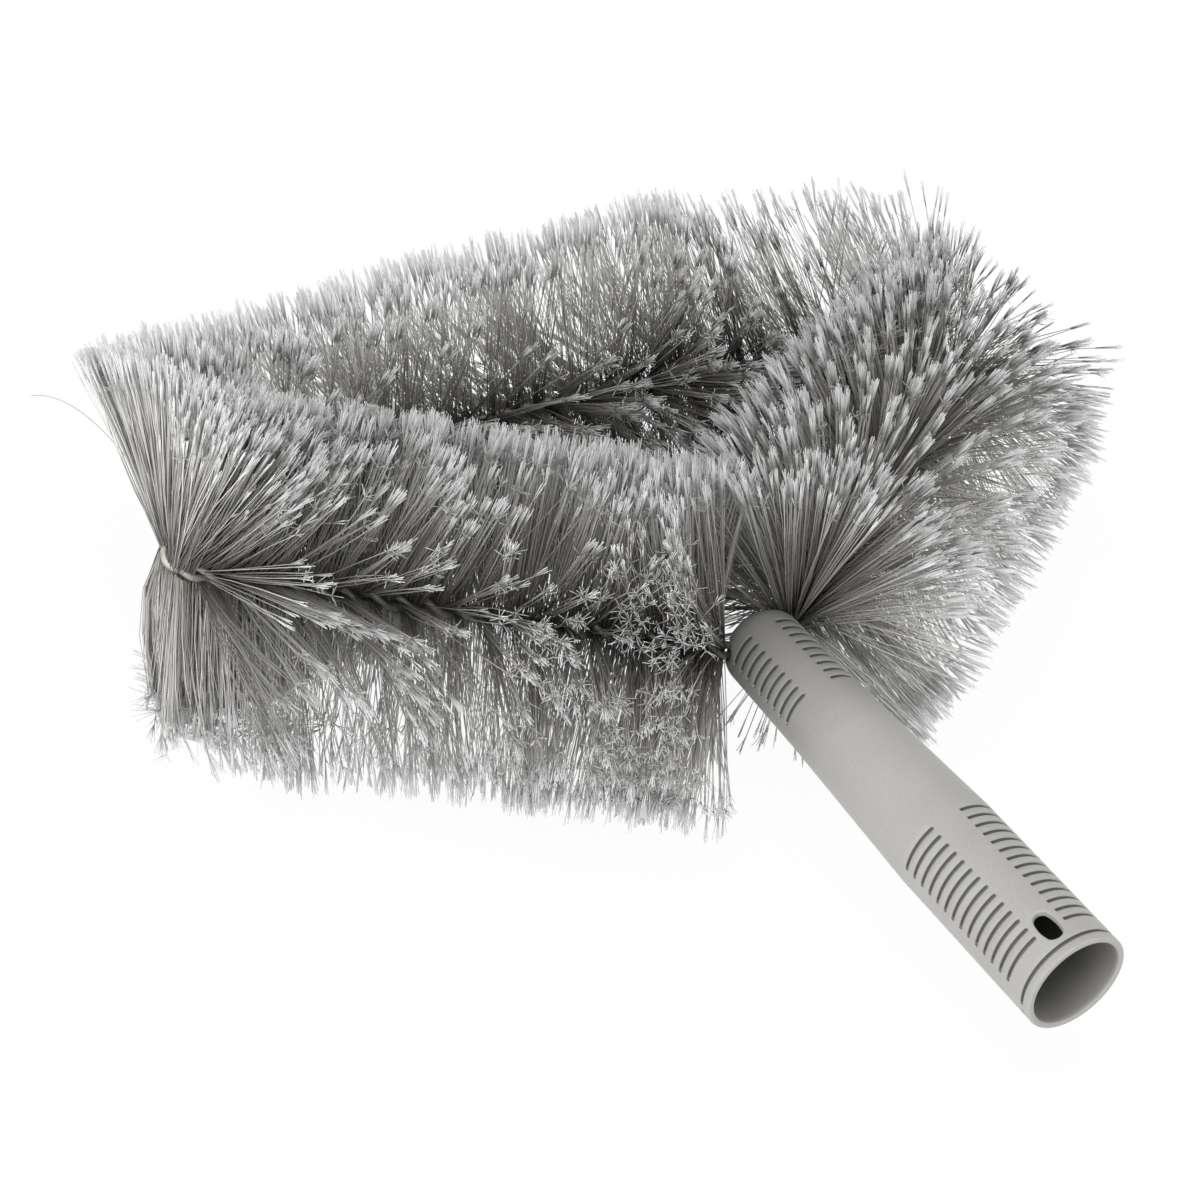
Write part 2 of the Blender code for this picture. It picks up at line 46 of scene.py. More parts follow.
# The wire's path, as the model's source has it. Its plane has y = 0 at the tip of the socket's dome.
LOOP_SHIFT = np.array((0.0, -8.8, 54.5)) * MM
FLOOR = -LOOP_SHIFT[2]           # height of what the brush lies on
LOOP_HALF_SPAN = 151.0 * MM
CORNER_REACH = 94.3 * MM
BASE_BOW = 22.5 * MM
BEND_RADIUS = 9.0 * MM
STRAND_RADIUS = 1.15 * MM
STRAND_GAP = 0.3 * MM
LAY = 16.0 * MM
TAIL_GAP = 1.9 * MM
TAIL_BEND_DEPTH = 8.45 * MM
TAIL_BEND_RADIUS = 8.0 * MM
TAIL_STRAIGHT = 23.1 * MM
HELIX_RADIUS = (STRAND_RADIUS + STRAND_GAP / 2.0) / math.cos(math.pi / 6.0)
TAIL_OFFSET = HELIX_RADIUS + STRAND_RADIUS + TAIL_GAP / 2.0
BRISTLE_RADIUS = 54.5 * MM
WIRE_EXIT = 5.2 * MM             # from the start of the tail bend to where the first bristles root
WIRE_SIDES = 12
WIRE_STEPS = 24                  # along one full turn of the twist

# Socket and plug, depths from the tip of the dome
SOCKET_LENGTH = 153.7 * MM
DOME_FILLET = 7.0 * MM
CHAMBER_RADIUS = 9.552 * MM
SEAT_RADIUS = 11.352 * MM
SEAT_DEPTH = 41.375 * MM
PLUG_TOP_DEPTH = 37.175 * MM
PLUG_END_DEPTH = 52.375 * MM
PLUG_WALL = 1.8 * MM
PLUG_COLUMNS = 96
SHOULDER_RADIUS = 12.152 * MM
HEAD_RADIUS = 12.952 * MM
HEAD_LENGTH = 39.7 * MM
GRIP_DEPTH = 95.7 * MM
GRIP_RADIUS = 15.45 * MM
MOUTH_RADIUS = 15.6 * MM
MOUTH_BORE_RADIUS = 13.7 * MM
CROWN_WALL = 4.0 * MM
CHAMBER_CHAMFER = 3.5 * MM
COLUMNS = 256
DOME_STEPS = 12

# Grip slots: the first one's depth and the length of the row in mm, their number, their spread in degrees
HEAD_SLOTS = (9.6, 27.1, 9, 50.0)
GRIP_SLOTS = (98.4, 45.6, 14, 56.0)
SLOT_BANDS = [(67.5 + 90.0 * index) * DEG for index in range(4)]
MOUTH_SLOT_DEPTH = 150.5 * MM
MOUTH_SLOT_BANDS = [112.5 * DEG, 292.5 * DEG]
MOUTH_SLOT_SPREAD = 172.0 * DEG
SLOT_DEPTH = 1.15 * MM
SLOT_HALF_WIDTH = 0.60 * MM
SLOT_STEPS = (0.2, 0.50, 0.58, 0.66, 0.78)                     # in mm, rings of points beside a slot's middle
SLOT_WALL = np.array((0.0, 0.40, 0.50, 0.58, 0.66, 0.76)) * MM  # from the slot's middle
SLOT_WALL_SHARES = np.array((1.0, 1.0, 0.86, 0.30, 0.06, 0.0))  # of its depth there

# The hole for the pole's spring button, and the patch of the wall that it is set in
BUTTON_ANGLE = 112.5 * DEG
BUTTON_DEPTH = 143.4 * MM
BUTTON_LENGTH = 9.6 * MM
BUTTON_WIDTH = 6.0 * MM
BUTTON_OUTER_EDGE = 0.45 * MM
BUTTON_INNER_EDGE = 0.3 * MM
BUTTON_EDGE_STEPS = 4
PATCH_HALF_LENGTH = 6.1          # in mm
PATCH_HALF_COLUMNS = 11
NEARLY = 1e-6

# Bristles
CLUMPS_PER_MM = 11.0
CLUMP_SIZE = 7.1
ROW_SPREAD = 0.19                # of the angles in a wound row, as a logistic scale
TILT_SPREAD = 0.019
GOLDEN_STEP = 0.6180340          # shares that spread a row of numbers evenly
PLASTIC_STEP = 0.7548777
LOOSE_SHARE = 0.08
ROWS = 48                        # kinds of filament that the colours tell apart
RINGS = 4
SIDES = 3
FLAGS = 5
ROOT_THICKNESS = 0.17 * MM       # radius
TIP_THICKNESS = 0.150 * MM
FLAG_THICKNESS = 0.145 * MM
SPLIT = 8.4 * MM                 # length of the split end
STAR_SPREAD = 66.0               # degrees, for the split ends that have sprung apart
STAR_REACH = 0.44
STAR_THICKNESS = 0.78
STALK_U = 0.9                    # u in the colours, where the stalk ends and where its flags start
FLAG_U = 0.925
LOWEST = FLOOR + 0.3 * MM
SOCKET_SPACE = 0.35 * MM

# Light and camera
FLOOR_SIZE = 4.0
FLOOR_GLOW = 0.955
WORLD_LIGHT = 0.62
LAMPS = (
    ("side", (-1.7, -0.7, 0.35), (-0.10, 0.03, 0.05), 1.2, 18.0),
    ("key", (-0.9, -0.6, 2.0), (0.0, 0.0, 0.05), 1.1, 20.0),
    ("fill", (1.4, -1.6, 1.0), (0.05, -0.05, 0.05), 1.4, 12.0),
)
SENSOR_WIDTH = 36.0              # of the camera, in mm like its focal length
FOCAL_LENGTH = 110.218
CAMERA_PLACE = (-0.558131, -0.625003, 0.702963)
CAMERA_TURN = (51.567103, -8.634526, -32.318)


def unit(vectors):
    return vectors / np.linalg.norm(vectors, axis=-1, keepdims=True)


def dot(a, b):
    return np.sum(a * b, axis=-1, keepdims=True)


def side_of(place):
    return np.where(place < 0.0, -1.0, 1.0)


def wrapped(angle):
    return np.arctan2(np.sin(angle), np.cos(angle))


def turned_degrees(angle):
    """Angle round the wire in degrees, from -180 to 180: 0 is outward and 90 is up."""
    return wrapped(angle) / DEG


def between(x, low, high):
    return (x > low) & (x < high)


def smooth_step(x, low, high):
    t = np.clip((x - low) / (high - low), 0.0, 1.0)
    return t * t * (3.0 - 2.0 * t)


def band(x, low, low_full, high_full, high):
    """1 between the two inner limits, easing to 0 at the outer ones."""
    return smooth_step(x, low, low_full) * (1.0 - smooth_step(x, high_full, high))


def bell(x, width):
    return np.exp(-(x / width) ** 2)


def graph(x, *points):
    """Height over x of the line through these points, level beyond them."""
    return np.interp(x, *zip(*points))


def curve(t, start, middle, end):
    """Points of the curve that leaves the start towards the middle point and ends at the end."""
    return (1 - t) ** 2 * start + 2 * t * (1 - t) * middle + t ** 2 * end


# The path of the wire
base_radius = (LOOP_HALF_SPAN ** 2 + BASE_BOW ** 2) / (2.0 * BASE_BOW)
base_middle_y = CORNER_REACH + BASE_BOW
base_centre = Vector((0.0, base_middle_y - base_radius))
corner = Vector((LOOP_HALF_SPAN, CORNER_REACH))
tail_corner = Vector((TAIL_OFFSET, -TAIL_BEND_DEPTH))
tail_turn = math.atan2(corner.x - tail_corner.x, corner.y - tail_corner.y)


def wire_runs():
    """Length and left turn of each run of half the wire, from the middle of the far side."""
    arm = (tail_corner - corner).normalized()
    side = Vector((-arm.y, arm.x))
    to_line = corner - side * BEND_RADIUS - base_centre
    along = to_line.dot(arm)
    reach = base_radius - BEND_RADIUS
    trim = -along - math.sqrt(along ** 2 - to_line.length_squared + reach ** 2)
    bend_centre = to_line + arm * trim
    base_turn = math.atan2(bend_centre.x, bend_centre.y)
    bend_turn = math.pi / 2.0 + tail_turn - base_turn
    tail_trim = TAIL_BEND_RADIUS * math.tan(tail_turn / 2.0)
    return [
        (base_radius * base_turn, -base_turn),
        (BEND_RADIUS * bend_turn, -bend_turn),
        ((tail_corner - corner).length - trim - tail_trim, 0.0),
        (TAIL_BEND_RADIUS * tail_turn, tail_turn),
        (TAIL_STRAIGHT, 0.0),
    ]


RUNS = wire_runs()
BASE_RUN, BEND_RUN, ARM_RUN = (length for length, turn in RUNS[:3])
BEND_MIDDLE = BASE_RUN + BEND_RUN / 2.0
ROOT_END = BASE_RUN + BEND_RUN + ARM_RUN - WIRE_EXIT


def onward_of(outward, side):
    """The directions that lead away from the middle of the far side, for these outward ones."""
    return np.stack((outward[:, 1] * side, -outward[:, 0] * side, np.zeros(len(outward))), -1)


def around_wire(outward, angle):
    """The directions at this angle from the outward ones, upwards first."""
    return outward * np.cos(angle)[:, None] + UP * np.sin(angle)[:, None]


def wire_line(distance):
    """Centres, outward and onward directions of the wire; distance is negative on the left."""
    left = np.abs(distance)
    centre = np.zeros((len(distance), 3))
    centre[:, 1] = base_middle_y
    heading = np.zeros(len(distance))
    for length, turn in RUNS:
        step = np.clip(left, 0.0, length)
        half_turn = turn * step / length / 2.0
        chord = step * np.sinc(half_turn / math.pi)
        centre[:, 0] += chord * np.cos(heading + half_turn)
        centre[:, 1] += chord * np.sin(heading + half_turn)
        heading = heading + 2.0 * half_turn
        left = left - step
    side = side_of(distance)
    centre[:, 0] *= side
    outward = np.stack((-np.sin(heading) * side, np.cos(heading), np.zeros_like(heading)), -1)
    return centre, outward, onward_of(outward, side)


# Meshes
def circle(count):
    """Angles of so many even steps round a circle."""
    return np.arange(count) * FULL_TURN / count


def ring_round(across, other, angle):
    """Unit vectors at these angles, in the plane of the two given directions."""
    return across[..., None, :] * np.cos(angle)[..., None] + other[..., None, :] * np.sin(angle)[..., None]


def around_axis(radius, depth, angle):
    """Points at this radius, depth and angle round the socket's axis."""
    return np.stack(np.broadcast_arrays(radius * np.cos(angle), -depth, radius * np.sin(angle)), -1)


def wall_quads(rings, columns):
    """Quads between neighbouring rings of points, each ring closed on itself."""
    first = np.arange(rings - 1)[:, None] * columns + np.arange(columns)
    after = np.arange(rings - 1)[:, None] * columns + (np.arange(columns) + 1) % columns
    return np.stack((first, after, after + columns, first + columns), -1)


def end_fans(rings, columns, tip):
    """Triangles from the point at index tip to the first ring, and from the one after it to the last."""
    ring = np.arange(columns)
    last = (rings - 1) * columns + ring
    fans = (tip, ring, np.roll(ring, -1)), (tip + 1, np.roll(last, -1), last)
    return np.concatenate([np.stack(np.broadcast_arrays(*fan), -1) for fan in fans])


def tube(points, outward, radius, sides):
    """Points and faces of a capped tube, with its rings turned to the outward directions."""
    tangent = unit(np.gradient(points, axis=0))
    across = unit(outward - dot(outward, tangent) * tangent)
    other = np.cross(tangent, across)
    rings = points[:, None] + ring_round(across, other, circle(sides)) * radius
    count = len(points)
    caps = np.stack((np.arange(sides)[::-1], np.arange(sides) + (count - 1) * sides))
    return rings.reshape(-1, 3), [wall_quads(count, sides).reshape(-1, 4), caps]


def make_piece(name, points, faces, material, uv=None):
    """A mesh object in the row frame. faces is a list of index arrays, each of one polygon size."""
    mesh = bpy.data.meshes.new(name)
    loops = np.concatenate([f.reshape(-1) for f in faces]).astype(np.int32)
    totals = np.concatenate([np.full(len(f), f.shape[1]) for f in faces]).astype(np.int32)
    starts = np.concatenate(([0], np.cumsum(totals)[:-1])).astype(np.int32)
    mesh.vertices.add(len(points))
    mesh.vertices.foreach_set("co", (points + LOOP_SHIFT).astype(np.float32).reshape(-1))
    mesh.loops.add(len(loops))
    mesh.loops.foreach_set("vertex_index", loops)
    mesh.polygons.add(len(totals))
    mesh.polygons.foreach_set("loop_start", starts)
    mesh.polygons.foreach_set("use_smooth", np.ones(len(totals), bool))
    if uv is not None:
        layer = mesh.uv_layers.new(name="OFBake")
        layer.data.foreach_set("uv", np.concatenate([u.reshape(-1) for u in uv]).astype(np.float32))
    mesh.update(calc_edges=True)
    mesh.materials.append(material)
    piece = bpy.data.objects.new(name, mesh)
    bpy.context.scene.collection.objects.link(piece)
    return piece


# Materials
def grey(level):
    return (level, level, level)


class Nodes:
    """The node tree of a material or a world, with short calls for the nodes that the finishes share."""

    def __init__(self, owner, shader="Principled BSDF"):
        self.owner = owner
        self.owner.use_nodes = True
        self.tree = owner.node_tree
        self.shader = self.tree.nodes[shader]

    def feed(self, socket, value):
        if isinstance(value, bpy.types.NodeSocket):
            self.tree.links.new(value, socket)
        else:
            socket.default_value = value

    def add(self, kind, inputs=None, **settings):
        node = self.tree.nodes.new(kind)
        for key, value in settings.items():
            setattr(node, key, value)
        for key, value in (inputs or {}).items():
            self.feed(node.inputs[key], value)
        return node

    def set(self, **inputs):
        for key, value in inputs.items():
            self.feed(self.shader.inputs[key.replace("_", " ")], value)

    def position(self):
        return self.add("ShaderNodeTexCoord").outputs["Object"]

    def part(self, vector, axis):
        return self.add("ShaderNodeSeparateXYZ", {"Vector": vector}).outputs[axis]

    def noise(self, vector, scale, detail=2.0, roughness=0.5):
        inputs = {"Vector": vector, "Scale": scale, "Detail": detail, "Roughness": roughness}
        return self.add("ShaderNodeTexNoise", inputs).outputs["Fac"]

    def ramp(self, factor, *stops):
        node = self.add("ShaderNodeValToRGB", {"Fac": factor})
        elements = node.color_ramp.elements
        while len(elements) < len(stops):
            elements.new(0.5)
        for element, (place, colour) in zip(elements, stops):
            element.position = place
            element.color = (*colour, 1.0)
        return node.outputs["Color"]

    def remap(self, value, low, high, start=0.0, end=1.0):
        inputs = {"Value": value, "From Min": start, "From Max": end, "To Min": low, "To Max": high}
        return self.add("ShaderNodeMapRange", inputs).outputs["Result"]

    def math(self, operation, *values):
        return self.add("ShaderNodeMath", dict(enumerate(values)), operation=operation).outputs[0]

    def mix(self, factor, first, second, blend="MIX"):
        inputs = {0: factor, 6: first, 7: second}
        return self.add("ShaderNodeMix", inputs, data_type="RGBA", blend_type=blend).outputs[2]

    def multiply(self, first, second):
        return self.mix(1.0, first, second, "MULTIPLY")

    def bump(self, height, distance, strength):
        inputs = {"Height": height, "Distance": distance, "Strength": strength}
        return self.add("ShaderNodeBump", inputs).outputs["Normal"]


def material_nodes(name):
    return Nodes(bpy.data.materials.new(name))


def filament_material():
    """Colour along a filament by u, from its root to its split tip, and by v from one to the next. The darker
    colours towards the root are painted shade deep in the brush.
    """
    n = material_nodes("filament")
    place = n.add("ShaderNodeUVMap", uv_map="OFBake").outputs["UV"]
    along = n.part(place, "X")
    kind = n.part(place, "Y")
    # the first colour of each stop darkens towards the root, as painted shade deep in the brush; the split
    # ends are their own pale colour
    stops = (
        (0.0, (0.15, 0.14, 0.125), (0.40, 0.385, 0.36)),
        (0.28, (0.235, 0.226, 0.209), (0.71, 0.695, 0.667)),
        (0.68, (0.345, 0.336, 0.319), (0.84, 0.825, 0.80)),
        (0.90, (0.44, 0.435, 0.425), (0.88, 0.87, 0.85)),
        (0.915, (0.62, 0.62, 0.62), (0.86, 0.86, 0.85)),
        (1.0, (0.74, 0.74, 0.745), (0.92, 0.92, 0.91)),
    )
    dark = n.ramp(along, *((u, colour) for u, colour, other in stops))
    pale = n.ramp(along, *((u, colour) for u, other, colour in stops))
    tone = n.ramp(kind, (0.0, (0.62, 0.61, 0.59)), (0.5, grey(1.15)), (0.55, grey(0.92)), (1.0, grey(1.08)))
    # painted backlight: rows with v over 0.5 turn to the pale colours, as painted light coming through
    # filaments in the open
    painted_backlight = n.remap(kind, 0.0, 1.0, 0.5, 1.0)
    n.set(Base_Color=n.multiply(n.mix(painted_backlight, dark, pale), tone), Roughness=0.42)
    return n.owner


def wire_material():
    """Galvanised wire, with painted light on the bends of the loop and painted shade where it lies among the
    bristles.
    """
    n = material_nodes("galvanised wire")
    place = n.position()
    cloud = n.noise(place, 420.0, 3.0)
    colours = (0.19, 0.185, 0.16), (0.27, 0.265, 0.235), (0.34, 0.335, 0.31)
    colour = n.ramp(cloud, *zip((0.3, 0.55, 0.75), colours))
    # painted light and shade: the colour is raised on the bends and lowered along the arms and the far side,
    # where the bristles shade the wire
    sideways = n.math("ABSOLUTE", n.part(place, "X"))
    painted_light_and_shade = n.remap(sideways, 0.38, 1.9, 0.128, 0.143)
    n.set(
        Base_Color=n.multiply(colour, painted_light_and_shade),
        Metallic=0.6,
        Roughness=n.remap(cloud, 0.38, 0.55),
        Normal=n.bump(n.noise(place, 3000.0), 0.00005, 0.6),
    )
    return n.owner


def ferrule_material():
    n = material_nodes("zinc plate")
    cloud = n.noise(n.position(), 600.0, 4.0)
    colour = n.ramp(cloud, (0.3, (0.46, 0.46, 0.46)), (0.7, (0.60, 0.60, 0.59)))
    n.set(Base_Color=colour, Metallic=1.0, Roughness=n.remap(cloud, 0.3, 0.5))
    return n.owner


def plug_material():
    n = material_nodes("dark moulding")
    place = n.position()
    colour = n.ramp(n.noise(place, 300.0, 3.0), (0.3, (0.085, 0.085, 0.09)), (0.7, (0.12, 0.12, 0.125)))
    n.set(
        Base_Color=colour,
        Roughness=n.remap(n.noise(place, 900.0), 0.42, 0.58),
        Normal=n.bump(n.noise(place, 2600.0), 0.00006, 0.5),
    )
    return n.owner


def socket_material(name, shade):
    """Satin moulded plastic: a fine spark grain, faint flow clouds and a few handling marks, and painted
    shade that darkens it towards the dome's tip, under the bristles.
    """
    n = material_nodes(name)
    place = n.position()
    thin, thick = ([shade * c for c in colour] for colour in ((0.374, 0.367, 0.349), (0.412, 0.405, 0.386)))
    flow = n.ramp(n.noise(place, 38.0, 3.0), (0.3, thin), (0.7, thick))
    speck = n.ramp(n.noise(place, 1500.0), (0.35, grey(0.96)), (0.65, grey(1.03)))
    # painted shade: darker towards the dome's tip, where the bristles shade the head
    dome_y = float(LOOP_SHIFT[1])
    painted_head_shade = n.remap(n.part(place, "Y"), 0.30, 0.93, dome_y, dome_y - 0.055)
    stretched = n.add("ShaderNodeMapping", {"Vector": place, "Scale": (1.0, 0.18, 1.0)}).outputs[0]
    n.set(
        Base_Color=n.multiply(n.multiply(flow, speck), painted_head_shade),
        Roughness=n.remap(n.noise(stretched, 420.0, 4.0), 0.36, 0.54),
        Normal=n.bump(n.noise(place, 2600.0, 3.0, 0.6), 0.00008, 0.5),
    )
    return n.owner


def bore_material():
    """The wall of the bore, with painted shade that darkens it the deeper it lies."""
    n = material_nodes("bore moulding")
    place = n.position()
    mouth_y = float(LOOP_SHIFT[1] - SOCKET_LENGTH)
    shade = n.ramp(
        n.remap(n.part(place, "Y"), 0.0, 1.0, mouth_y, mouth_y + 30.0 * MM),
        (0.0, (0.34, 0.334, 0.32)),
        (0.05, (0.20, 0.195, 0.185)),
        (0.45, (0.10, 0.098, 0.094)),
        (1.0, (0.05, 0.049, 0.047)),
    )
    cloud = n.ramp(n.noise(place, 60.0, 3.0), (0.3, grey(0.94)), (0.7, grey(1.04)))
    n.set(
        Base_Color=n.multiply(shade, cloud),
        Roughness=0.5,
        Normal=n.bump(n.noise(place, 1800.0, 3.0), 0.00006, 0.5),
    )
    return n.owner


# Where the bristles grow. Angles in degrees are those of turned_degrees.
def quantile(share):
    """Logistic quantile of shares between 0 and 1, with its far tails cut off."""
    share = np.clip(share, 0.015, 0.985)
    return np.log(share / (1.0 - share))


def even_quantile(number, step, rng):
    """Quantiles that are spread evenly over any stretch of the clumps."""
    return quantile((number * step + 0.05 * rng.random(len(number))) % 1.0)


def ripple(place, angle, seed, waves, size):
    """A smooth unevenness over the brush, as handling leaves it; the waves are lengths in mm."""
    rng = np.random.default_rng(seed)
    total = np.zeros(len(place))
    for wave in waves:
        start = rng.random() * FULL_TURN
        winding = rng.integers(-2, 3)
        total += np.sin(FULL_TURN * place / (wave * MM) + winding * angle + start)
    return size * total / math.sqrt(len(waves))


def curtain(place, angle):
    """Share, from 0 to 1, to which filaments hang or stand in the open, with the background behind them; the
    colours make these paler with painted light coming through them.
    """
    turned = turned_degrees(angle)
    arm = smooth_step(np.abs(place), BEND_MIDDLE - 8.0 * MM, BEND_MIDDLE + 8.0 * MM)
    hanging = band(turned, -150.0, -115.0, -72.0, -45.0)
    outer = band(turned, -150.0, -115.0, 10.0, 52.0) * (place > 0.0)
    standing = band(turned, -10.0, 25.0, 68.0, 92.0)
    fan = band(turned, -10.0, 25.0, 95.0, 125.0)
    on_arm = arm * np.maximum(hanging, outer)
    on_base = (1.0 - arm) * np.maximum(hanging, standing)
    at_bend = bell(place + BEND_MIDDLE, 16.0 * MM) * np.maximum(hanging, fan)
    return np.maximum(np.maximum(on_arm, on_base), at_bend)


def near_fan(place, angle):
    """Share to which filaments belong to the even fans by the socket."""
    near = 1.0 - smooth_step(ROOT_END - np.abs(place), 22.0 * MM, 44.0 * MM)
    return near * np.where(place > 0.0, smooth_step(turned_degrees(angle), 10.0, 30.0), 1.0) * 0.6


def clump_share(middle):
    """Share of the clumps that are there, which grows at the bends and by the socket."""
    left = middle < 0.0
    at_bend = bell(np.abs(middle) - BEND_MIDDLE, 17.0 * MM)
    by_socket = 1.0 - smooth_step(ROOT_END - np.abs(middle), 14.0 * MM, 40.0 * MM)
    return 0.39 + np.where(left, 0.61, 0.10) * at_bend + np.where(left, 0.26, 0.10) * by_socket


def growth(middle, turned):
    """How much longer than the rest the clumps are: at the left bend, below it and at the upper right."""
    past = middle + BEND_MIDDLE
    at_left_bend = bell(past, np.where(past > 0.0, 34.0, 13.0) * MM)
    hanging = (middle < 0.0) & between(turned, -125.0, -25.0)
    below_left = bell(np.abs(middle) - BEND_MIDDLE - 18.0 * MM, 45.0 * MM) * hanging
    upper_right = bell(middle - BEND_MIDDLE, 12.0 * MM) * between(turned, 20.0, 110.0)
    far_right = band(middle, 0.0, 55.0 * MM, BASE_RUN - 30.0 * MM, BASE_RUN) * between(turned, 20.0, 115.0)
    return 1.0 + 0.11 * at_left_bend + (0.10 * below_left + 0.08 * upper_right + 0.08 * far_right)


def grow_bristles(rng):
    """Each filament's place along the wire, angle, lean, length and the number of its clump."""
    whole = 2.0 * ROOT_END
    clumps = round(whole / MM * CLUMPS_PER_MM)
    number = np.arange(clumps)
    middle = (number + rng.random(clumps)) / clumps * whole - ROOT_END
    there = rng.random(clumps) < clump_share(middle)
    number, middle = number[there], middle[there]
    clumps = len(number)
    clump = np.repeat(np.arange(clumps), rng.poisson(CLUMP_SIZE - 1.0, clumps) + 1)
    count = len(clump)

    # two wound rows, half a turn apart, unevened by handling
    spread = ROW_SPREAD * even_quantile(number, GOLDEN_STEP, rng)
    turn = FULL_TURN * middle / LAY + math.pi / 2.0 + (number % 2) * math.pi + spread
    turned = turned_degrees(turn)
    combed = (middle < -BEND_MIDDLE) & between(turned, -70.0, 75.0)
    tilt = TILT_SPREAD * even_quantile(number, PLASTIC_STEP, rng) * np.where(combed, 2.6, 1.0)
    tilt = tilt + ripple(middle, turn, seed=3, waves=(37.0, 61.0, 23.0, 90.0), size=0.045)
    turn = turn + ripple(middle, turn, seed=5, waves=(41.0, 67.0, 29.0), size=0.05)
    longer = rng.normal(0.0, 0.55 * MM, clumps)

    # the filaments of each clump; even ones stand apart, and a few have sprung loose
    loose = (rng.random(count) < LOOSE_SHARE) & (np.abs(middle + BEND_MIDDLE) > 26.0 * MM)[clump]
    even = 1.0 + 3.6 * np.maximum(curtain(middle, turn), near_fan(middle, turn))[clump]
    place = np.clip(middle[clump] + even * rng.normal(0.0, 0.8 * MM, count), -ROOT_END, ROOT_END)
    angle = turn[clump] + even * rng.normal(0.0, 0.013, count)
    gather = (1.0 - 0.2 * even) * (middle[clump] - place) / BRISTLE_RADIUS
    tilt = tilt[clump] + rng.normal(0.0, 0.011, count) + gather
    angle = np.where(loose, angle + rng.normal(0.0, 0.30, count), angle)
    tilt = np.where(loose, tilt + rng.normal(0.0, 0.12, count), tilt)
    length = BRISTLE_RADIUS + longer[clump] + rng.normal(0.0, 0.9 * MM, count)
    return place, angle, tilt, length * growth(middle, turned)[clump], clump


def thinned(place, angle, clump, rng):
    """Which filaments stay, by whole clumps where the brush is open enough to look into."""
    distance = np.abs(place)
    turned = turned_degrees(angle)
    before_bend = BASE_RUN - distance
    to_socket = ROOT_END - distance
    left, right = place < 0.0, place > 0.0
    outside = distance > BEND_MIDDLE
    arm = distance > BEND_MIDDLE + BEND_RUN
    base = distance < BEND_MIDDLE - BEND_RUN
    at_bend = np.abs(distance - BEND_MIDDLE) < 15.0 * MM
    keep = np.ones(len(place))
    for zone, low, high, share in (
        (left & outside, -25.0, 84.0, 0.52),
        (left & outside, -60.0, -25.0, 0.78),
        (left & arm, -125.0, -50.0, 0.82),
        (right & arm, -90.0, 25.0, 0.40),
        (base, 0.0, 80.0, 0.72),
        (left & (to_socket < 30.0 * MM), 84.0, 135.0, 0.70),
        (left & (to_socket < 70.0 * MM), -60.0, 60.0, 0.75),
        (base, 92.0, 142.0, 0.45),
    ):
        keep = np.where(zone & between(turned, low, high), share, keep)
    beside_left = left & (before_bend > 0.0) & between(turned, -60.0, 30.0)
    keep = np.where(beside_left, np.clip(before_bend / (20.0 * MM), 0.55, keep), keep)
    notch_share = graph(before_bend, (48.0 * MM, 0.28), (70.0 * MM, 0.75))
    for zone, low, high, share in (
        (right & at_bend, 30.0, 125.0, 0.40),
        (right & (before_bend > 2.0 * MM), 22.0, 125.0, notch_share),
        (left & at_bend, -135.0, -45.0, 0.48),
    ):
        keep = np.where(zone & between(turned, low, high), share, keep)
    alone = curtain(place, angle)
    chance = rng.random(clump.max() + 1)[clump] * (1.0 - alone) + rng.random(len(place)) * alone
    return chance < keep


def comb_angles(place, angle, rng):
    """Parts the filaments up and down at the left bend, and clears the space under the socket."""
    turned = turned_degrees(angle)
    distance = np.abs(place)
    left = place < 0.0
    before = distance < BEND_MIDDLE
    level = np.abs(turned)
    up = np.where(before, 42.0 + 0.66 * level, 72.0 + 0.26 * level)
    down = np.where(before, -85.0 - 0.16 * level, -71.0 - 0.38 * level)
    lowest = np.where(before, -88.0, -64.0)
    on_bend = np.abs(distance - BEND_MIDDLE) - BEND_RUN / 2.0 < 0.0
    parted = left & on_bend & between(turned, lowest, 64.0)
    turned = np.where(parted, np.where(turned > -12.0, up, down), turned)

    # the parting fades along the far side
    before_bend = BASE_RUN - distance
    beside = left & (before_bend > 0.0)
    share = graph(before_bend, (24.0 * MM, 1.0), (48.0 * MM, 0.0))
    lower = beside & between(turned, -80.0, 10.0)
    upper = beside & between(turned, 10.0, 50.0)
    turned = np.where(lower, turned + share * (-86.0 - 0.84 * turned), turned)
    turned = np.where(upper, turned + share * (43.0 - 0.5 * turned), turned)

    to_socket = ROOT_END - distance
    under = (place > 0.0) & (to_socket < 46.0 * MM) & between(turned, -135.0, -52.0)
    swept = rng.random(len(place)) < np.where(to_socket < 16.0 * MM, 0.80, 0.97)
    aside = -30.0 - 22.0 * rng.random(len(place))
    astray = turned * 0.6 - 32.0 + rng.normal(0.0, 9.0, len(place))
    return np.where(under, np.where(swept, aside, astray), turned) * DEG


def directions(place, angle):
    """Root centres and the frame that each filament's angle is measured in."""
    distance = np.abs(place)
    centre, outward = wire_line(place)[:2]
    held = np.where(
        distance < BEND_MIDDLE,
        np.minimum(distance, BASE_RUN - 2.0 * MM),
        np.maximum(distance, BASE_RUN + BEND_RUN),
    )
    held_outward = wire_line(side_of(place) * held)[1]
    out_share = smooth_step(np.cos(angle), -0.5, 0.3)[:, None]
    outward = unit(held_outward * out_share + outward * (1.0 - out_share))
    return centre, outward, onward_of(outward, side_of(place))


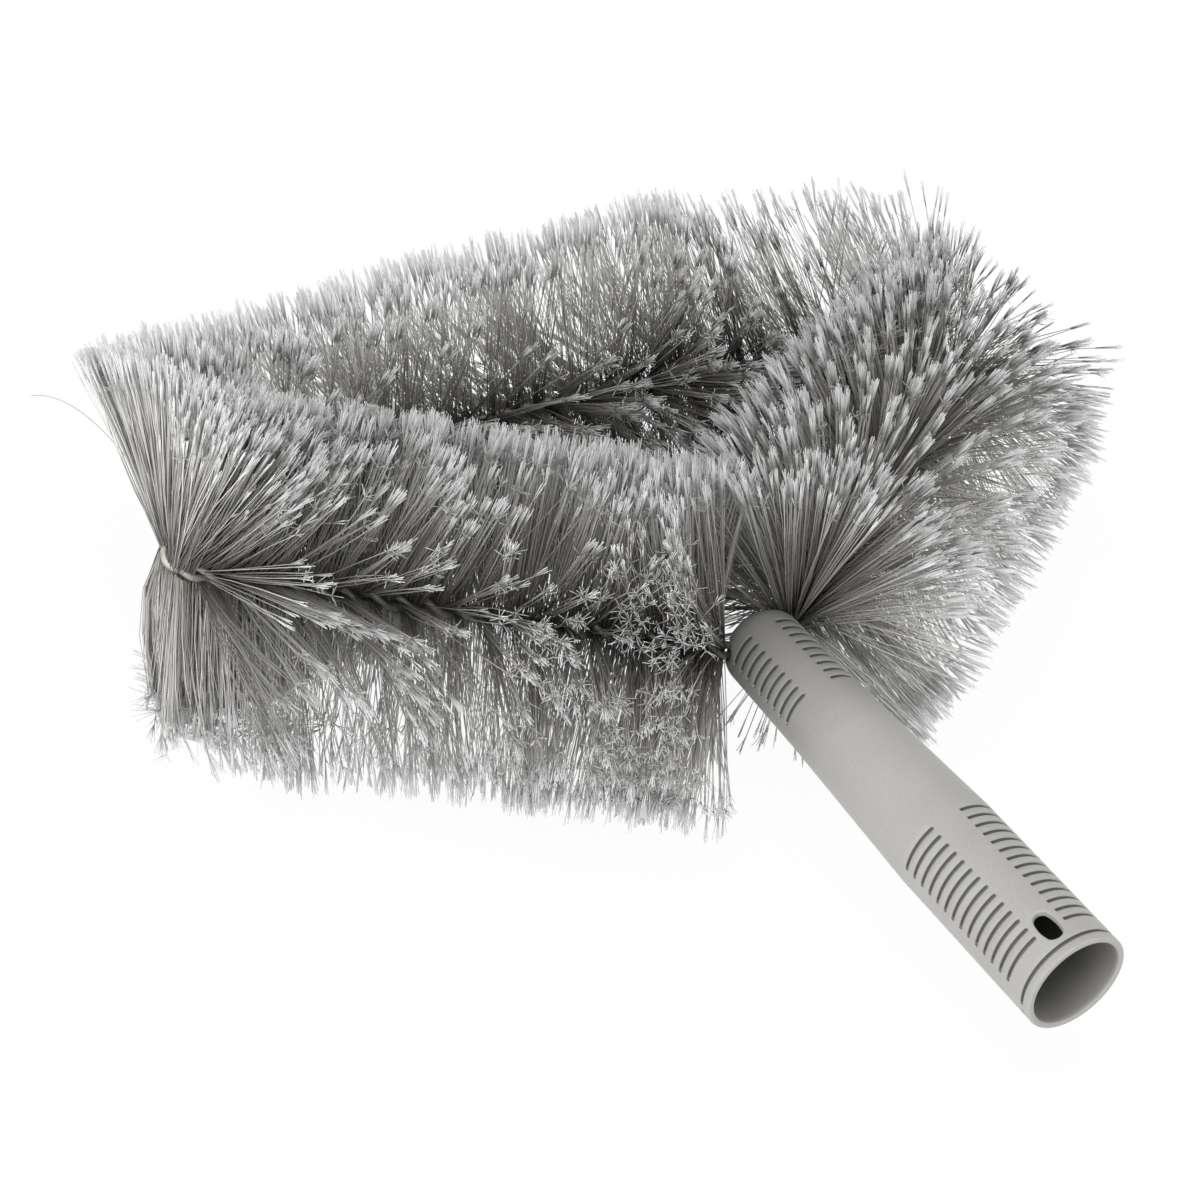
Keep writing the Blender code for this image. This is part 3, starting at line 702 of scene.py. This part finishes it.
def lean_angle(place, angle):
    """How far combing and the bends have leaned the filaments along the wire, onward positive."""
    distance = np.abs(place)
    past_bend = (distance - BASE_RUN - BEND_RUN) / MM
    before_bend = (BASE_RUN - distance) / MM
    to_socket = (ROOT_END - distance) / MM
    turned = turned_degrees(angle)
    upward = band(turned, 28.0, 60.0, 118.0, 150.0)
    combed = graph(turned, (-88, 0), (-50, 24), (-20, 40), (20, 40), (55, 26), (90, 20), (125, 0))
    left_arm = combed * graph(past_bend, (-11, 0.1), (2, 1), (40, 0.8), (70, 0.55), (100, 0.3), (130, 0))
    splayed = graph(turned, (-20, 0), (5, 34), (35, 15), (46, 0))
    left_base = -splayed * graph(before_bend, (0, 1), (15, 0.8), (55, 0))
    right_base = -34.0 * upward * graph(before_bend, (-20, 1), (5, 1), (42, 0.9), (70, 0.32), (110, 0))
    loner = (np.sin(place / MM * 7.3) > 0.86) & (before_bend < 40.0)
    right_base = np.where(loner, 0.15 * right_base, right_base)
    outer = smooth_step(np.cos(angle), 0.0, 0.7)
    right_arm = 10.0 * graph(past_bend, (0, 1), (40, 0)) * outer
    right_arm += 17.0 * upward * graph(past_bend, (0, 1), (30, 0))

    # by the socket they bow away from it
    left_end = graph(turned, (-110, 0), (-60, -2), (0, -4), (40, -9), (80, -15), (150, -8))
    left_end = left_end * graph(to_socket, (0, 1), (12, 0.9), (38, 0))
    right_end = graph(turned, (-90, -9), (-20, -6), (40, 0), (80, 4), (140, 7))
    right_end = right_end * graph(to_socket, (0, 1), (18, 0))
    on_left = place < 0.0
    on_base = np.where(on_left, left_base, right_base)
    on_arm = np.where(on_left, left_arm, right_arm)
    lean = np.where(distance < BEND_MIDDLE, on_base, on_arm)
    return (lean + np.where(on_left, left_end, right_end)) * DEG


def held_back(centre, direction, length, point, away, overlap):
    """Turns the filaments that would cross a plane too far so that they rise along it instead."""
    room = dot(point - centre, away)
    most = np.clip((room + overlap) / length, -0.9, 0.985)
    toward = dot(direction, away)
    along = direction - toward * away
    level = along * (1.0, 1.0, 0.0)
    rise = along[:, 2:]
    rise = rise + np.where(rise < 0.0, -0.25, 0.25)
    turned = most * away + np.sqrt(1.0 - most ** 2) * unit(0.45 * level + rise * UP)
    return np.where(toward > most, turned, direction)


def keep_to_own_side(place, centre, direction, length, rng):
    """Holds the filaments back where the loop's sides meet: at its two corners and between its arms."""
    side = side_of(place)[:, None]
    on_base = (np.abs(place) < BEND_MIDDLE)[:, None]
    length = length[:, None]
    overlap = np.clip(rng.exponential(11.0 * MM, len(place)), 0.0, 34.0 * MM)[:, None]
    near = (1.0 - smooth_step(ROOT_END - np.abs(place), 15.0 * MM, 45.0 * MM))[:, None]
    reach = np.where(side > 0.0, 0.7 * overlap + 20.0 * MM * near, 0.7 * (1.0 - 0.6 * near) * overlap)
    middle = np.concatenate((-side, np.zeros((len(place), 2))), axis=1)
    for repeat in range(2):
        for plane_side in (-1.0, 1.0):
            point = np.array((plane_side * corner.x, corner.y, 0.0))
            to_socket = unit(np.array((plane_side * tail_corner.x, tail_corner.y, 0.0)) - point)
            to_middle = unit(np.array((0.0, base_middle_y, 0.0)) - point)
            bisector = unit(to_socket + to_middle)
            across = unit(to_socket - dot(to_socket, bisector) * bisector)
            mine = on_base | (side == plane_side)
            away = np.where(on_base, across, -across)
            turned = held_back(centre, direction, length, point, away, overlap)
            direction = np.where(mine, turned, direction)
        turned = held_back(centre, direction, length, np.zeros(3), middle, reach)
        direction = np.where(on_base, direction, turned)
    return direction


def outer_radius(depth):
    """Radius of the socket's outside at these depths."""
    flat = SHOULDER_RADIUS - DOME_FILLET
    rise = np.clip(1.0 - depth / DOME_FILLET, 0.0, 1.0)
    dome = flat + DOME_FILLET * np.sqrt(1.0 - rise ** 2)
    below = graph(
        depth,
        (DOME_FILLET, SHOULDER_RADIUS),
        (HEAD_LENGTH, HEAD_RADIUS),
        (GRIP_DEPTH, GRIP_RADIUS),
        (SOCKET_LENGTH, MOUTH_RADIUS),
    )
    return np.where(depth < DOME_FILLET, dome, below)


def clear_of_socket_and_floor(points):
    depth = -points[..., 1]
    wall = outer_radius(depth) + SOCKET_SPACE
    distance = np.hypot(points[..., 0], points[..., 2])
    grow = np.where((depth > 0.0) & (distance < wall), wall / np.maximum(distance, NEARLY), 1.0)
    points[..., 0] *= grow
    points[..., 2] *= grow
    points[..., 2] = np.maximum(points[..., 2], LOWEST)
    return points


# The mesh of the bristles
def star_share(place, angle, pale):
    """Share of the filaments whose split ends have sprung apart into stars."""
    turned = np.abs(turned_degrees(angle))
    crease = np.where(place < -BEND_MIDDLE, 1.0 - smooth_step(turned, 50.0, 75.0), 0.0)
    by_socket = 1.0 - smooth_step(ROOT_END - np.abs(place), 30.0 * MM, 80.0 * MM)
    elsewhere = np.where(place < -BEND_MIDDLE, 0.26, 0.10)
    hollow = np.where((np.abs(place) < BEND_MIDDLE - 20.0 * MM) & (turned > 120.0), 0.35, 0.0)
    return np.where(pale > 0.6, 0.05, elsewhere + crease * (0.26 + 0.24 * by_socket) + hollow)


def shade_share(place, angle):
    """Share of painted shade, for filaments that lie in the dark hollow of the loop and on the far bank's
    right half.
    """
    turned = np.abs(turned_degrees(angle))
    base = 1.0 - smooth_step(np.abs(place), BEND_MIDDLE - 40.0 * MM, BEND_MIDDLE - 10.0 * MM)
    hollow = 0.75 * smooth_step(turned, 92.0, 125.0)
    right_half = 0.35 * smooth_step(place, -60.0 * MM, 40.0 * MM) * smooth_step(turned, 45.0, 85.0)
    return base * np.maximum(hollow, right_half)


def split_ends(rng, tip, tangent, across, other, pale, star):
    """The flags that each tip is split into, as two rings of points each."""
    count = len(tip)
    sprung = rng.random((count, 1, 1)) < star[:, None, None]
    frayed = sprung * rng.uniform(0.2, 1.0, (count, FLAGS, 1)) ** 1.4 * STAR_SPREAD
    width = 1.9 - 0.7 * pale + 3.5 * star
    spread = (np.abs(rng.normal(0.0, 1.0, (count, FLAGS, 1))) + 0.4) * width[:, None, None]
    spread = (spread + frayed) * DEG
    around = (np.arange(FLAGS) + rng.random((count, FLAGS))) * FULL_TURN / FLAGS
    side = ring_round(across, other, around)
    way = tangent * np.cos(spread) + side * np.sin(spread)
    reach = SPLIT * rng.uniform(0.72, 1.06, (count, FLAGS, 1)) * np.where(sprung, STAR_REACH, 1.0)
    root = tip - tangent * 0.25 * MM + side * 0.07 * MM

    # none of them reaches into the floor
    lowest = np.clip((LOWEST - root[..., 2:]) / reach, -1.0, 0.0)
    level = unit(way * (1.0, 1.0, 0.0) + (1e-9, 0.0, 0.0))
    flat = level * np.sqrt(1.0 - lowest ** 2) + lowest * UP
    way = np.where(way[..., 2:] < lowest, flat, way)

    flag_across = unit(np.cross(way, side + UP * 0.01))
    flag_other = np.cross(way, flag_across)
    ring = ring_round(flag_across, flag_other, circle(SIDES)) * FLAG_THICKNESS
    ring = ring * np.where(sprung, STAR_THICKNESS, 1.0)[..., None]
    end = root + way * reach
    return np.concatenate((root[:, :, None] + ring, end[:, :, None] + 0.75 * ring), axis=2)


def filament_faces():
    """Quads and triangles of one filament, each with the u along it and the v of its corners."""
    quads, quad_uv, tris, tri_uv = [], [], [], []

    def sleeve(first, u, next_u):
        for s in range(SIDES):
            t = (s + 1) % SIDES
            quads.append((first + s, first + t, first + SIDES + t, first + SIDES + s))
            quad_uv.append(((u, 0.0), (u, 1.0), (next_u, 1.0), (next_u, 0.0)))

    def cap(corners, u, next_u):
        tris.append(corners)
        tri_uv.append(((u, 0.0), (next_u, 0.0), (next_u, 1.0)))

    step = STALK_U / (RINGS - 1)
    for ring in range(RINGS - 1):
        sleeve(ring * SIDES, ring * step, (ring + 1) * step)
    last = (RINGS - 1) * SIDES
    cap((2, 1, 0), 0.0, 0.02)
    cap((last, last + 1, last + 2), STALK_U - 0.02, STALK_U)
    for flag in range(FLAGS):
        first = RINGS * SIDES + flag * 2 * SIDES
        end = first + SIDES
        sleeve(first, FLAG_U, 1.0)
        cap((first + 2, first + 1, first), 0.92, FLAG_U)
        cap((end, end + 1, end + 2), 0.98, 0.99)
    return (np.array(quads), np.array(quad_uv)), (np.array(tris), np.array(tri_uv))


def bristle_mesh(rng, points, pale, star, shade):
    """Points, faces and uv of filaments along these points, (filaments, RINGS, 3), with split ends."""
    count = len(points)
    tangent = unit(np.gradient(points, axis=1))
    across = unit(np.cross(tangent, unit(rng.normal(0.0, 1.0, (count, 1, 3)))))
    other = np.cross(tangent, across)
    thickness = np.linspace(ROOT_THICKNESS, TIP_THICKNESS, RINGS)[None, :, None, None]
    thickness = thickness * rng.uniform(0.8, 1.15, (count, 1, 1, 1))
    stalks = points[:, :, None] + ring_round(across, other, circle(SIDES)) * thickness
    flags = split_ends(rng, points[:, -1:], tangent[:, -1:], across[:, -1], other[:, -1], pale, star)
    verts = np.concatenate((stalks.reshape(count, -1, 3), flags.reshape(count, -1, 3)), axis=1)

    # v picks a row of the colours: pale ones lie high, in the rows of painted backlight, and the dark end is
    # favoured in the shade, as painted shade
    skew = (1.0 - 0.65 * pale) * (1.0 + 3.0 * shade)
    row = ((0.5 + 0.5 * pale) * ROWS * rng.random(count) ** skew).astype(int)[:, None, None]
    first = np.arange(count)[:, None, None] * verts.shape[1]
    all_faces, all_uv = [], []
    for faces, uv in filament_faces():
        all_faces.append((faces + first).reshape(-1, faces.shape[1]))
        uv = np.broadcast_to(uv, (count, *uv.shape)).copy()
        uv[..., 1] = (row + 0.1 + 0.8 * uv[..., 1]) / ROWS
        all_uv.append(uv.reshape(-1, 2))
    return verts.reshape(-1, 3), all_faces, all_uv


def with_stray_hair(verts, faces, uv):
    """Adds the one long hair that has come loose at the left bend."""
    root, outward, onward = wire_line(np.array((-BASE_RUN,)))
    over = root + BRISTLE_RADIUS * (0.73 * outward + 0.53 * UP)
    end = root + BRISTLE_RADIUS * (1.20 * outward + 0.20 * UP)
    line = curve(np.linspace(0.0, 1.0, 17)[:, None], root, over, end)
    points, (quads, caps) = tube(line, np.repeat(onward, len(line), axis=0), 0.11 * MM, SIDES)
    offset = len(verts)
    all_faces = [np.concatenate((faces[0], quads + offset)), np.concatenate((faces[1], caps + offset))]
    spot = (0.8, 0.3)
    all_uv = [np.concatenate((old, np.tile(spot, (new.size, 1)))) for old, new in zip(uv, (quads, caps))]
    return np.concatenate((verts, points)), all_faces, all_uv


def combed_filaments(rng):
    """Each filament's place on the wire, its curve, and how pale (painted backlight), starred and shaded
    (painted shade) it is.
    """
    grown = grow_bristles(rng)
    kept = thinned(grown[0], grown[1], grown[4], rng)
    place, grown_angle, tilt, length = (values[kept] for values in grown[:4])
    angle = comb_angles(place, grown_angle, rng)
    centre, outward, onward = directions(place, angle)
    first_way = around_wire(outward, grown_angle)
    lean = (lean_angle(place, angle) + tilt)[:, None]
    direction = around_wire(outward, angle) * np.cos(lean) + onward * np.sin(lean)
    final = keep_to_own_side(place, centre, direction, length, rng)
    pale = curtain(place, angle)
    star = star_share(place, grown_angle, pale)
    shade = shade_share(place, grown_angle)

    # each filament curves from the way it grew to the way it was combed
    on_bend = (np.abs(np.abs(place) - BEND_MIDDLE) < BEND_RUN / 2.0 + 3.0 * MM)[:, None]
    first = unit(final * 0.6 + direction * 0.4 + rng.normal(0.0, 0.05, (len(place), 3)))
    first = np.where(on_bend & (angle < 0.0)[:, None], unit(first + 0.5 * first_way), first)
    reach = (length - SPLIT)[:, None]
    end = centre + final * reach
    middle = centre + first * reach * 0.5
    root = centre + rng.normal(0.0, 0.2 * MM, (len(place), 3)) + first_way * np.where(on_bend, 3.2, 0.6) * MM
    points = curve(np.linspace(0.0, 1.0, RINGS)[None, :, None], root[:, None], middle[:, None], end[:, None])
    return place, clear_of_socket_and_floor(points), pale, star, shade


def make_bristles():
    rng = np.random.default_rng(seed=7)
    place, *looks = combed_filaments(rng)
    material = filament_material()
    half_arm = BASE_RUN + BEND_RUN + ARM_RUN / 2.0
    half = (0.0, BEND_MIDDLE / 2.0, BEND_MIDDLE, half_arm, ROOT_END * 1.1)
    cuts = [-cut for cut in half[:0:-1]] + list(half)
    banks = (
        ("filaments_left_near", "left_arm", (4, 5, 6)),
        ("filaments_left_far", "left_arm", (1, 2, 3)),
        ("filaments_base_1", "base", (1, 2)),
        ("filaments_base_2", "base", (3, 4, 5)),
        ("filaments_base_3", "base", (6, 7, 8)),
        ("filaments_base_4", "base", (9, 10)),
        ("filaments_right_far", "right_arm", (1, 2, 3)),
        ("filaments_right_near", "right_arm", (4, 5, 6)),
    )
    for (name, bank, numbers), low, high in zip(banks, cuts, cuts[1:]):
        chosen = (place >= low) & (place < high)
        verts, faces, uv = bristle_mesh(rng, *(values[chosen] for values in looks))
        if name == "filaments_left_far":
            verts, faces, uv = with_stray_hair(verts, faces, uv)
        piece = make_piece(name, verts, faces, material, uv)
        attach(piece, "root")
        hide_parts(*(f"bristles_{bank}_{number}" for number in numbers))


# Wire
def make_wires():
    material = wire_material()
    half = sum(length for length, turn in RUNS)
    distance = np.linspace(-half, half, round(2.0 * half / LAY * WIRE_STEPS) + 1)
    centre, outward, onward = wire_line(distance)
    strands = (("twisted_wire_a", "wire_strand_a", 0.0), ("twisted_wire_b", "wire_strand_b", math.pi))
    for name, node, phase in strands:
        offset = around_wire(outward, FULL_TURN * distance / LAY + phase)
        points, faces = tube(centre + offset * HELIX_RADIUS, offset, STRAND_RADIUS, WIRE_SIDES)
        piece = make_piece(name, points, faces, material)
        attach(piece, "root")
        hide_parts(node)


# Socket
def slot_rings():
    """Depth, middle angles and spread of every ring of slots."""
    rings = []
    for start, length, number, spread in (HEAD_SLOTS, GRIP_SLOTS):
        for index in range(number):
            rings.append(((start + length * index / (number - 1)) * MM, SLOT_BANDS, spread * DEG))
    return rings + [(MOUTH_SLOT_DEPTH, MOUTH_SLOT_BANDS, MOUTH_SLOT_SPREAD)]


def slot_cut(depth, angles, radius):
    """How deep the slots cut at one depth, for every column."""
    cut = np.zeros(len(angles))
    for ring, middles, spread in slot_rings():
        across = depth - ring
        if abs(across) > 0.85 * MM:
            continue
        for middle in middles:
            off = np.abs(wrapped(angles - middle)) * radius
            past_end = np.maximum(off - (spread / 2.0 * radius - SLOT_HALF_WIDTH), 0.0)
            wall = np.interp(np.hypot(past_end, across), SLOT_WALL, SLOT_WALL_SHARES * SLOT_DEPTH)
            cut = np.maximum(cut, wall)
    return cut


def outside_stations():
    """(depth, radius, outside) of the rings of points from the dome's tip to the mouth."""
    flat = SHOULDER_RADIUS - DOME_FILLET
    stations = [(0.0, flat * share, True) for share in (0.15, 0.4, 0.7, 1.0)]
    for step in range(1, DOME_STEPS + 1):
        angle = math.pi / 2.0 * step / DOME_STEPS
        stations.append((DOME_FILLET * (1.0 - math.cos(angle)), flat + DOME_FILLET * math.sin(angle), True))
    depths = set(np.round(np.arange(8.0, 152.7, 2.5), 3))
    for ring, middles, spread in slot_rings():
        depths = {d for d in depths if abs(d - ring / MM) >= 1.0}
        depths |= {round(ring / MM + side * step, 3) for step in SLOT_STEPS for side in (-1.0, 1.0)}
    for side in (-1.0, 1.0):
        edge = BUTTON_DEPTH / MM + side * PATCH_HALF_LENGTH
        depths = {d for d in depths if abs(d - edge) > 0.3} | {round(edge, 3)}
    return stations + [(d * MM, float(outer_radius(np.array(d * MM))), True) for d in sorted(depths)]


def rim_stations():
    """Over the rounded rim of the mouth, by a quarter circle outside and one inside."""
    stations = []
    fillet = 0.55 * MM
    for step in range(7):
        angle = math.pi / 2.0 * step / 6
        depth = SOCKET_LENGTH - fillet + fillet * math.sin(angle)
        stations.append((depth, MOUTH_RADIUS - fillet + fillet * math.cos(angle), True))
    fillet = 0.45 * MM
    for step in range(6):
        angle = math.pi / 2.0 * step / 5
        depth = SOCKET_LENGTH - fillet + fillet * math.cos(angle)
        stations.append((depth, MOUTH_BORE_RADIUS + fillet - fillet * math.sin(angle), False))
    return stations


def bore_radius(depth):
    return graph(depth, (PLUG_END_DEPTH, SEAT_RADIUS), (SOCKET_LENGTH, MOUTH_BORE_RADIUS))


def in_patch(depth):
    half = PATCH_HALF_LENGTH * MM + NEARLY
    return (depth >= BUTTON_DEPTH - half) & (depth <= BUTTON_DEPTH + half)


def inside_stations(outer):
    """From the mouth down the bore, past the plug's seat and up the chamber to its crown."""
    depths = [depth for depth, radius, outside in outer if in_patch(depth)]
    depths += [d * MM for d in np.arange(56.0, 137.0, 4.0)] + [151.2 * MM]
    return [(depth, float(bore_radius(depth)), False) for depth in sorted(depths, reverse=True)] + [
        (PLUG_END_DEPTH, SEAT_RADIUS, False),
        (SEAT_DEPTH, SEAT_RADIUS, False),
        (SEAT_DEPTH - 0.01 * MM, CHAMBER_RADIUS, False),
        (CROWN_WALL + CHAMBER_CHAMFER, CHAMBER_RADIUS, False),
        (CROWN_WALL, CHAMBER_RADIUS - CHAMBER_CHAMFER, False),
        (CROWN_WALL, 1.0 * MM, False),
    ]


def patch_border(depths, is_outer, outside, columns, keep):
    """Takes the quads of one patch out of keep, and gives the points round it in order."""
    rows = np.where((is_outer == outside) & in_patch(depths))[0]
    keep[min(rows):max(rows), columns[0]:columns[-1]] = False
    if not outside:
        rows = rows[::-1]
    border = [(rows[0], c) for c in columns] + [(r, columns[-1]) for r in rows[1:]]
    border += [(rows[-1], c) for c in columns[-2::-1]] + [(r, columns[0]) for r in rows[-2:0:-1]]
    return np.array([r * COLUMNS + c for r, c in border])


def button_hole(points, depths, is_outer):
    """Which quads of the wall stay round the hole, its own points and the quads that line it."""
    middle_column = round(BUTTON_ANGLE / FULL_TURN * COLUMNS)
    columns = np.arange(middle_column - PATCH_HALF_COLUMNS, middle_column + PATCH_HALF_COLUMNS + 1)
    keep = np.ones((len(depths) - 1, COLUMNS), bool)
    borders = [patch_border(depths, is_outer, outside, columns, keep) for outside in (True, False)]
    border = points[borders[0]]
    radius_here = float(outer_radius(np.array(BUTTON_DEPTH)))
    across = (np.arctan2(border[:, 2], border[:, 0]) - BUTTON_ANGLE) * radius_here
    along = -border[:, 1] - BUTTON_DEPTH
    flat = np.stack((across, along), -1)
    bar = BUTTON_LENGTH / 2.0 - BUTTON_WIDTH / 2.0
    # where on the slot's middle line each border point looks to
    spread = np.clip(along * bar / (PATCH_HALF_LENGTH * MM) * 1.25, -bar, bar)
    spine = np.stack((np.zeros_like(along), spread), -1)
    look = unit(flat - spine)

    def layer(grow, sink, share, base_radius):
        """Points at this growth of the slot's outline, or a share of the way to the border."""
        outline = spine + look * (BUTTON_WIDTH / 2.0 + grow)
        where = outline * (1.0 - share) + flat * share
        angle = BUTTON_ANGLE + where[:, 0] / radius_here
        radius = base_radius(BUTTON_DEPTH + where[:, 1]) + sink
        return around_axis(radius, BUTTON_DEPTH + where[:, 1], angle)

    layers = [layer(BUTTON_OUTER_EDGE, 0.0, share, outer_radius) for share in (0.55, 0.2, 0.0)]
    steps = range(BUTTON_EDGE_STEPS + 1)
    for edge, sign, base_radius, order in (
        (BUTTON_OUTER_EDGE, -1.0, outer_radius, steps[1:]),
        (BUTTON_INNER_EDGE, 1.0, bore_radius, steps[::-1]),
    ):
        for step in order:
            turn = math.pi / 2.0 * step / BUTTON_EDGE_STEPS
            sink = sign * edge * (1.0 - math.cos(turn))
            layers.append(layer(edge * (1.0 - math.sin(turn)), sink, 0.0, base_radius))
    layers.append(layer(BUTTON_INNER_EDGE, 0.0, 0.5, bore_radius))

    around = len(border)
    start = len(points)
    chain = [start + index * around + np.arange(around) for index in range(len(layers))]
    chain = [borders[0]] + chain + [borders[1]]
    lining = [
        np.stack((upper, np.roll(upper, -1), np.roll(lower, -1), lower), -1)
        for upper, lower in zip(chain, chain[1:])
    ]
    return keep, np.concatenate(layers), np.concatenate(lining)


def sink_wire_exits(points):
    """A rounded hollow in the dome round each arm of the wire where it leaves."""
    arm = unit(np.array((corner.x - tail_corner.x, corner.y - tail_corner.y, 0.0)))
    for side in (-1.0, 1.0):
        way = arm * (side, 1.0, 1.0)
        offset = points - np.array((side * tail_corner.x, tail_corner.y, 0.0))
        along = offset @ way
        beside = np.linalg.norm(offset - along[:, None] * way, axis=1)
        on_dome = (along > 6.0 * MM) & (-points[:, 1] < 14.0 * MM)
        sink = 1.8 * MM * (1.0 - smooth_step(beside, 2.6 * MM, 3.7 * MM))
        points -= way * (sink * on_dome)[:, None]


def make_socket():
    angles = circle(COLUMNS)
    outer = outside_stations()
    stations = outer + rim_stations() + inside_stations(outer)
    depths = np.array([station[0] for station in stations])
    is_outer = np.array([station[2] for station in stations])
    rings = []
    cuts = []
    for depth, radius, outside in stations:
        cut = slot_cut(depth, angles, radius) if outside and radius > 8.0 * MM else np.zeros(COLUMNS)
        cuts.append(cut)
        rings.append(around_axis(radius - cut, depth, angles))
    points = np.concatenate(rings)
    keep, hole_points, lining = button_hole(points, depths, is_outer)
    tips = np.array(((0.0, 0.0, 0.0), (0.0, -CROWN_WALL, 0.0)))
    all_points = np.concatenate((points, hole_points, tips))
    sink_wire_exits(all_points)
    quads = wall_quads(len(stations), COLUMNS)[..., (0, 3, 2, 1)]
    fans = end_fans(len(stations), COLUMNS, len(all_points) - 2)
    faces = [np.concatenate((quads[keep], lining)), fans]
    piece = make_piece("pole_socket", all_points, faces, socket_material("grey moulding", 1.0))
    # the slots' plastic, darkened as painted shade
    piece.data.materials.append(socket_material("shaded slot", 0.30))
    piece.data.materials.append(bore_material())

    # the floors of the slots take the second material, the same plastic darkened with painted shade, and the
    # inside takes the third
    cuts = np.array(cuts)
    beside = np.roll(cuts, -1, axis=1)
    deep = (cuts[:-1] + cuts[1:] + beside[:-1] + beside[1:]) / 4.0
    finish = np.where(deep > 0.35 * SLOT_DEPTH, 1, 0)
    finish[~is_outer[1:]] = 2
    index = np.zeros(len(piece.data.polygons), np.int32)
    index[:keep.sum()] = finish[keep]
    piece.data.polygons.foreach_set("material_index", index)
    shell = bmesh.new()
    shell.from_mesh(piece.data)
    bmesh.ops.recalc_face_normals(shell, faces=shell.faces)
    shell.to_mesh(piece.data)
    shell.free()
    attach(piece, "root")
    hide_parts("socket")


def make_plug():
    """The cored plug that shuts the ferrule in, seen down the bore."""
    radius = SEAT_RADIUS - 0.3 * MM
    inner = radius - PLUG_WALL
    top = SEAT_DEPTH + 0.3 * MM
    web = top + PLUG_WALL
    end = PLUG_END_DEPTH
    profile = [
        (PLUG_TOP_DEPTH, 0.5 * MM),
        (PLUG_TOP_DEPTH, 5.9 * MM),
        (PLUG_TOP_DEPTH + 0.6 * MM, 6.5 * MM),
        (top, 6.5 * MM),
        (top, radius - 0.5 * MM),
        (top + 0.5 * MM, radius),
        (end - 0.6 * MM, radius),
        (end - 0.2 * MM, radius - 0.15 * MM),
        (end, radius - 0.6 * MM),
        (end, inner + 0.3 * MM),
        (end - 0.3 * MM, inner),
        (web + 1.0 * MM, inner),
        (web + 0.3 * MM, inner - 0.3 * MM),
        (web, inner - 1.0 * MM),
        (web, 0.5 * MM),
    ]
    rings = [around_axis(r, depth, circle(PLUG_COLUMNS)) for depth, r in profile]
    tips = np.array(((0.0, -PLUG_TOP_DEPTH, 0.0), (0.0, -web, 0.0)))
    points = np.concatenate(rings + [tips])
    quads = wall_quads(len(rings), PLUG_COLUMNS)[..., (0, 3, 2, 1)].reshape(-1, 4)
    fans = end_fans(len(rings), PLUG_COLUMNS, len(points) - 2)
    piece = make_piece("cored_plug", points, [quads, fans], plug_material())
    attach(piece, "root")
    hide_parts("retaining_plug")


def finish_ferrule():
    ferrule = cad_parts["crimp_ferrule"]
    ferrule.data.materials.clear()
    ferrule.data.materials.append(ferrule_material())


# Floor, light and camera
def shows_background(n):
    """1 for the rays that see the background: straight, mirrored or let through."""
    rays = n.add("ShaderNodeLightPath")
    seen = rays.outputs["Is Camera Ray"]
    for kind in ("Is Glossy Ray", "Is Transmission Ray"):
        seen = n.math("MAXIMUM", seen, rays.outputs[kind])
    return seen


def make_floor():
    """A pale floor that looks almost white and still takes the object's shadow."""
    mesh = bpy.data.meshes.new("floor")
    corners = [(x * FLOOR_SIZE, y * FLOOR_SIZE, 0.0) for x, y in ((-1, -1), (1, -1), (1, 1), (-1, 1))]
    mesh.from_pydata(corners, [], [(0, 1, 2, 3)])
    floor = bpy.data.objects.new("floor", mesh)
    bpy.context.scene.collection.objects.link(floor)
    n = material_nodes("pale floor")
    n.set(Base_Color=(0.93, 0.93, 0.93, 1.0), Roughness=0.9, Specular_IOR_Level=0.1)
    glow = n.add("ShaderNodeEmission", {"Color": (1.0, 1.0, 1.0, 1.0), "Strength": 1.0}).outputs[0]
    share = n.math("MULTIPLY", shows_background(n), FLOOR_GLOW)
    blend = n.add("ShaderNodeMixShader", {0: share, 1: n.shader.outputs[0], 2: glow}).outputs[0]
    n.feed(n.tree.nodes["Material Output"].inputs["Surface"], blend)
    floor.data.materials.append(n.owner)


def make_light():
    n = Nodes(bpy.data.worlds.new("studio"), "Background")
    bpy.context.scene.world = n.owner
    n.set(Color=(1.0, 1.0, 1.0, 1.0), Strength=n.remap(shows_background(n), WORLD_LIGHT, 1.0))
    for name, place, aim, size, power in LAMPS:
        light = bpy.data.lights.new(name, "AREA")
        light.shape = "DISK"
        light.size = size
        light.energy = power
        lamp = bpy.data.objects.new(name, light)
        lamp.location = place
        lamp.rotation_euler = (Vector(aim) - Vector(place)).to_track_quat("-Z", "Y").to_euler()
        bpy.context.scene.collection.objects.link(lamp)


def make_camera():
    data = bpy.data.cameras.new("camera")
    data.sensor_width = SENSOR_WIDTH
    data.lens = FOCAL_LENGTH
    data.clip_start = 0.05
    camera = bpy.data.objects.new("camera", data)
    camera.location = CAMERA_PLACE
    camera.rotation_euler = [angle * DEG for angle in CAMERA_TURN]
    bpy.context.scene.collection.objects.link(camera)
    bpy.context.scene.camera = camera


make_camera()
make_floor()
make_light()
make_socket()
make_plug()
make_wires()
make_bristles()
finish_ferrule()

bpy.context.scene.view_settings.view_transform = "Standard"
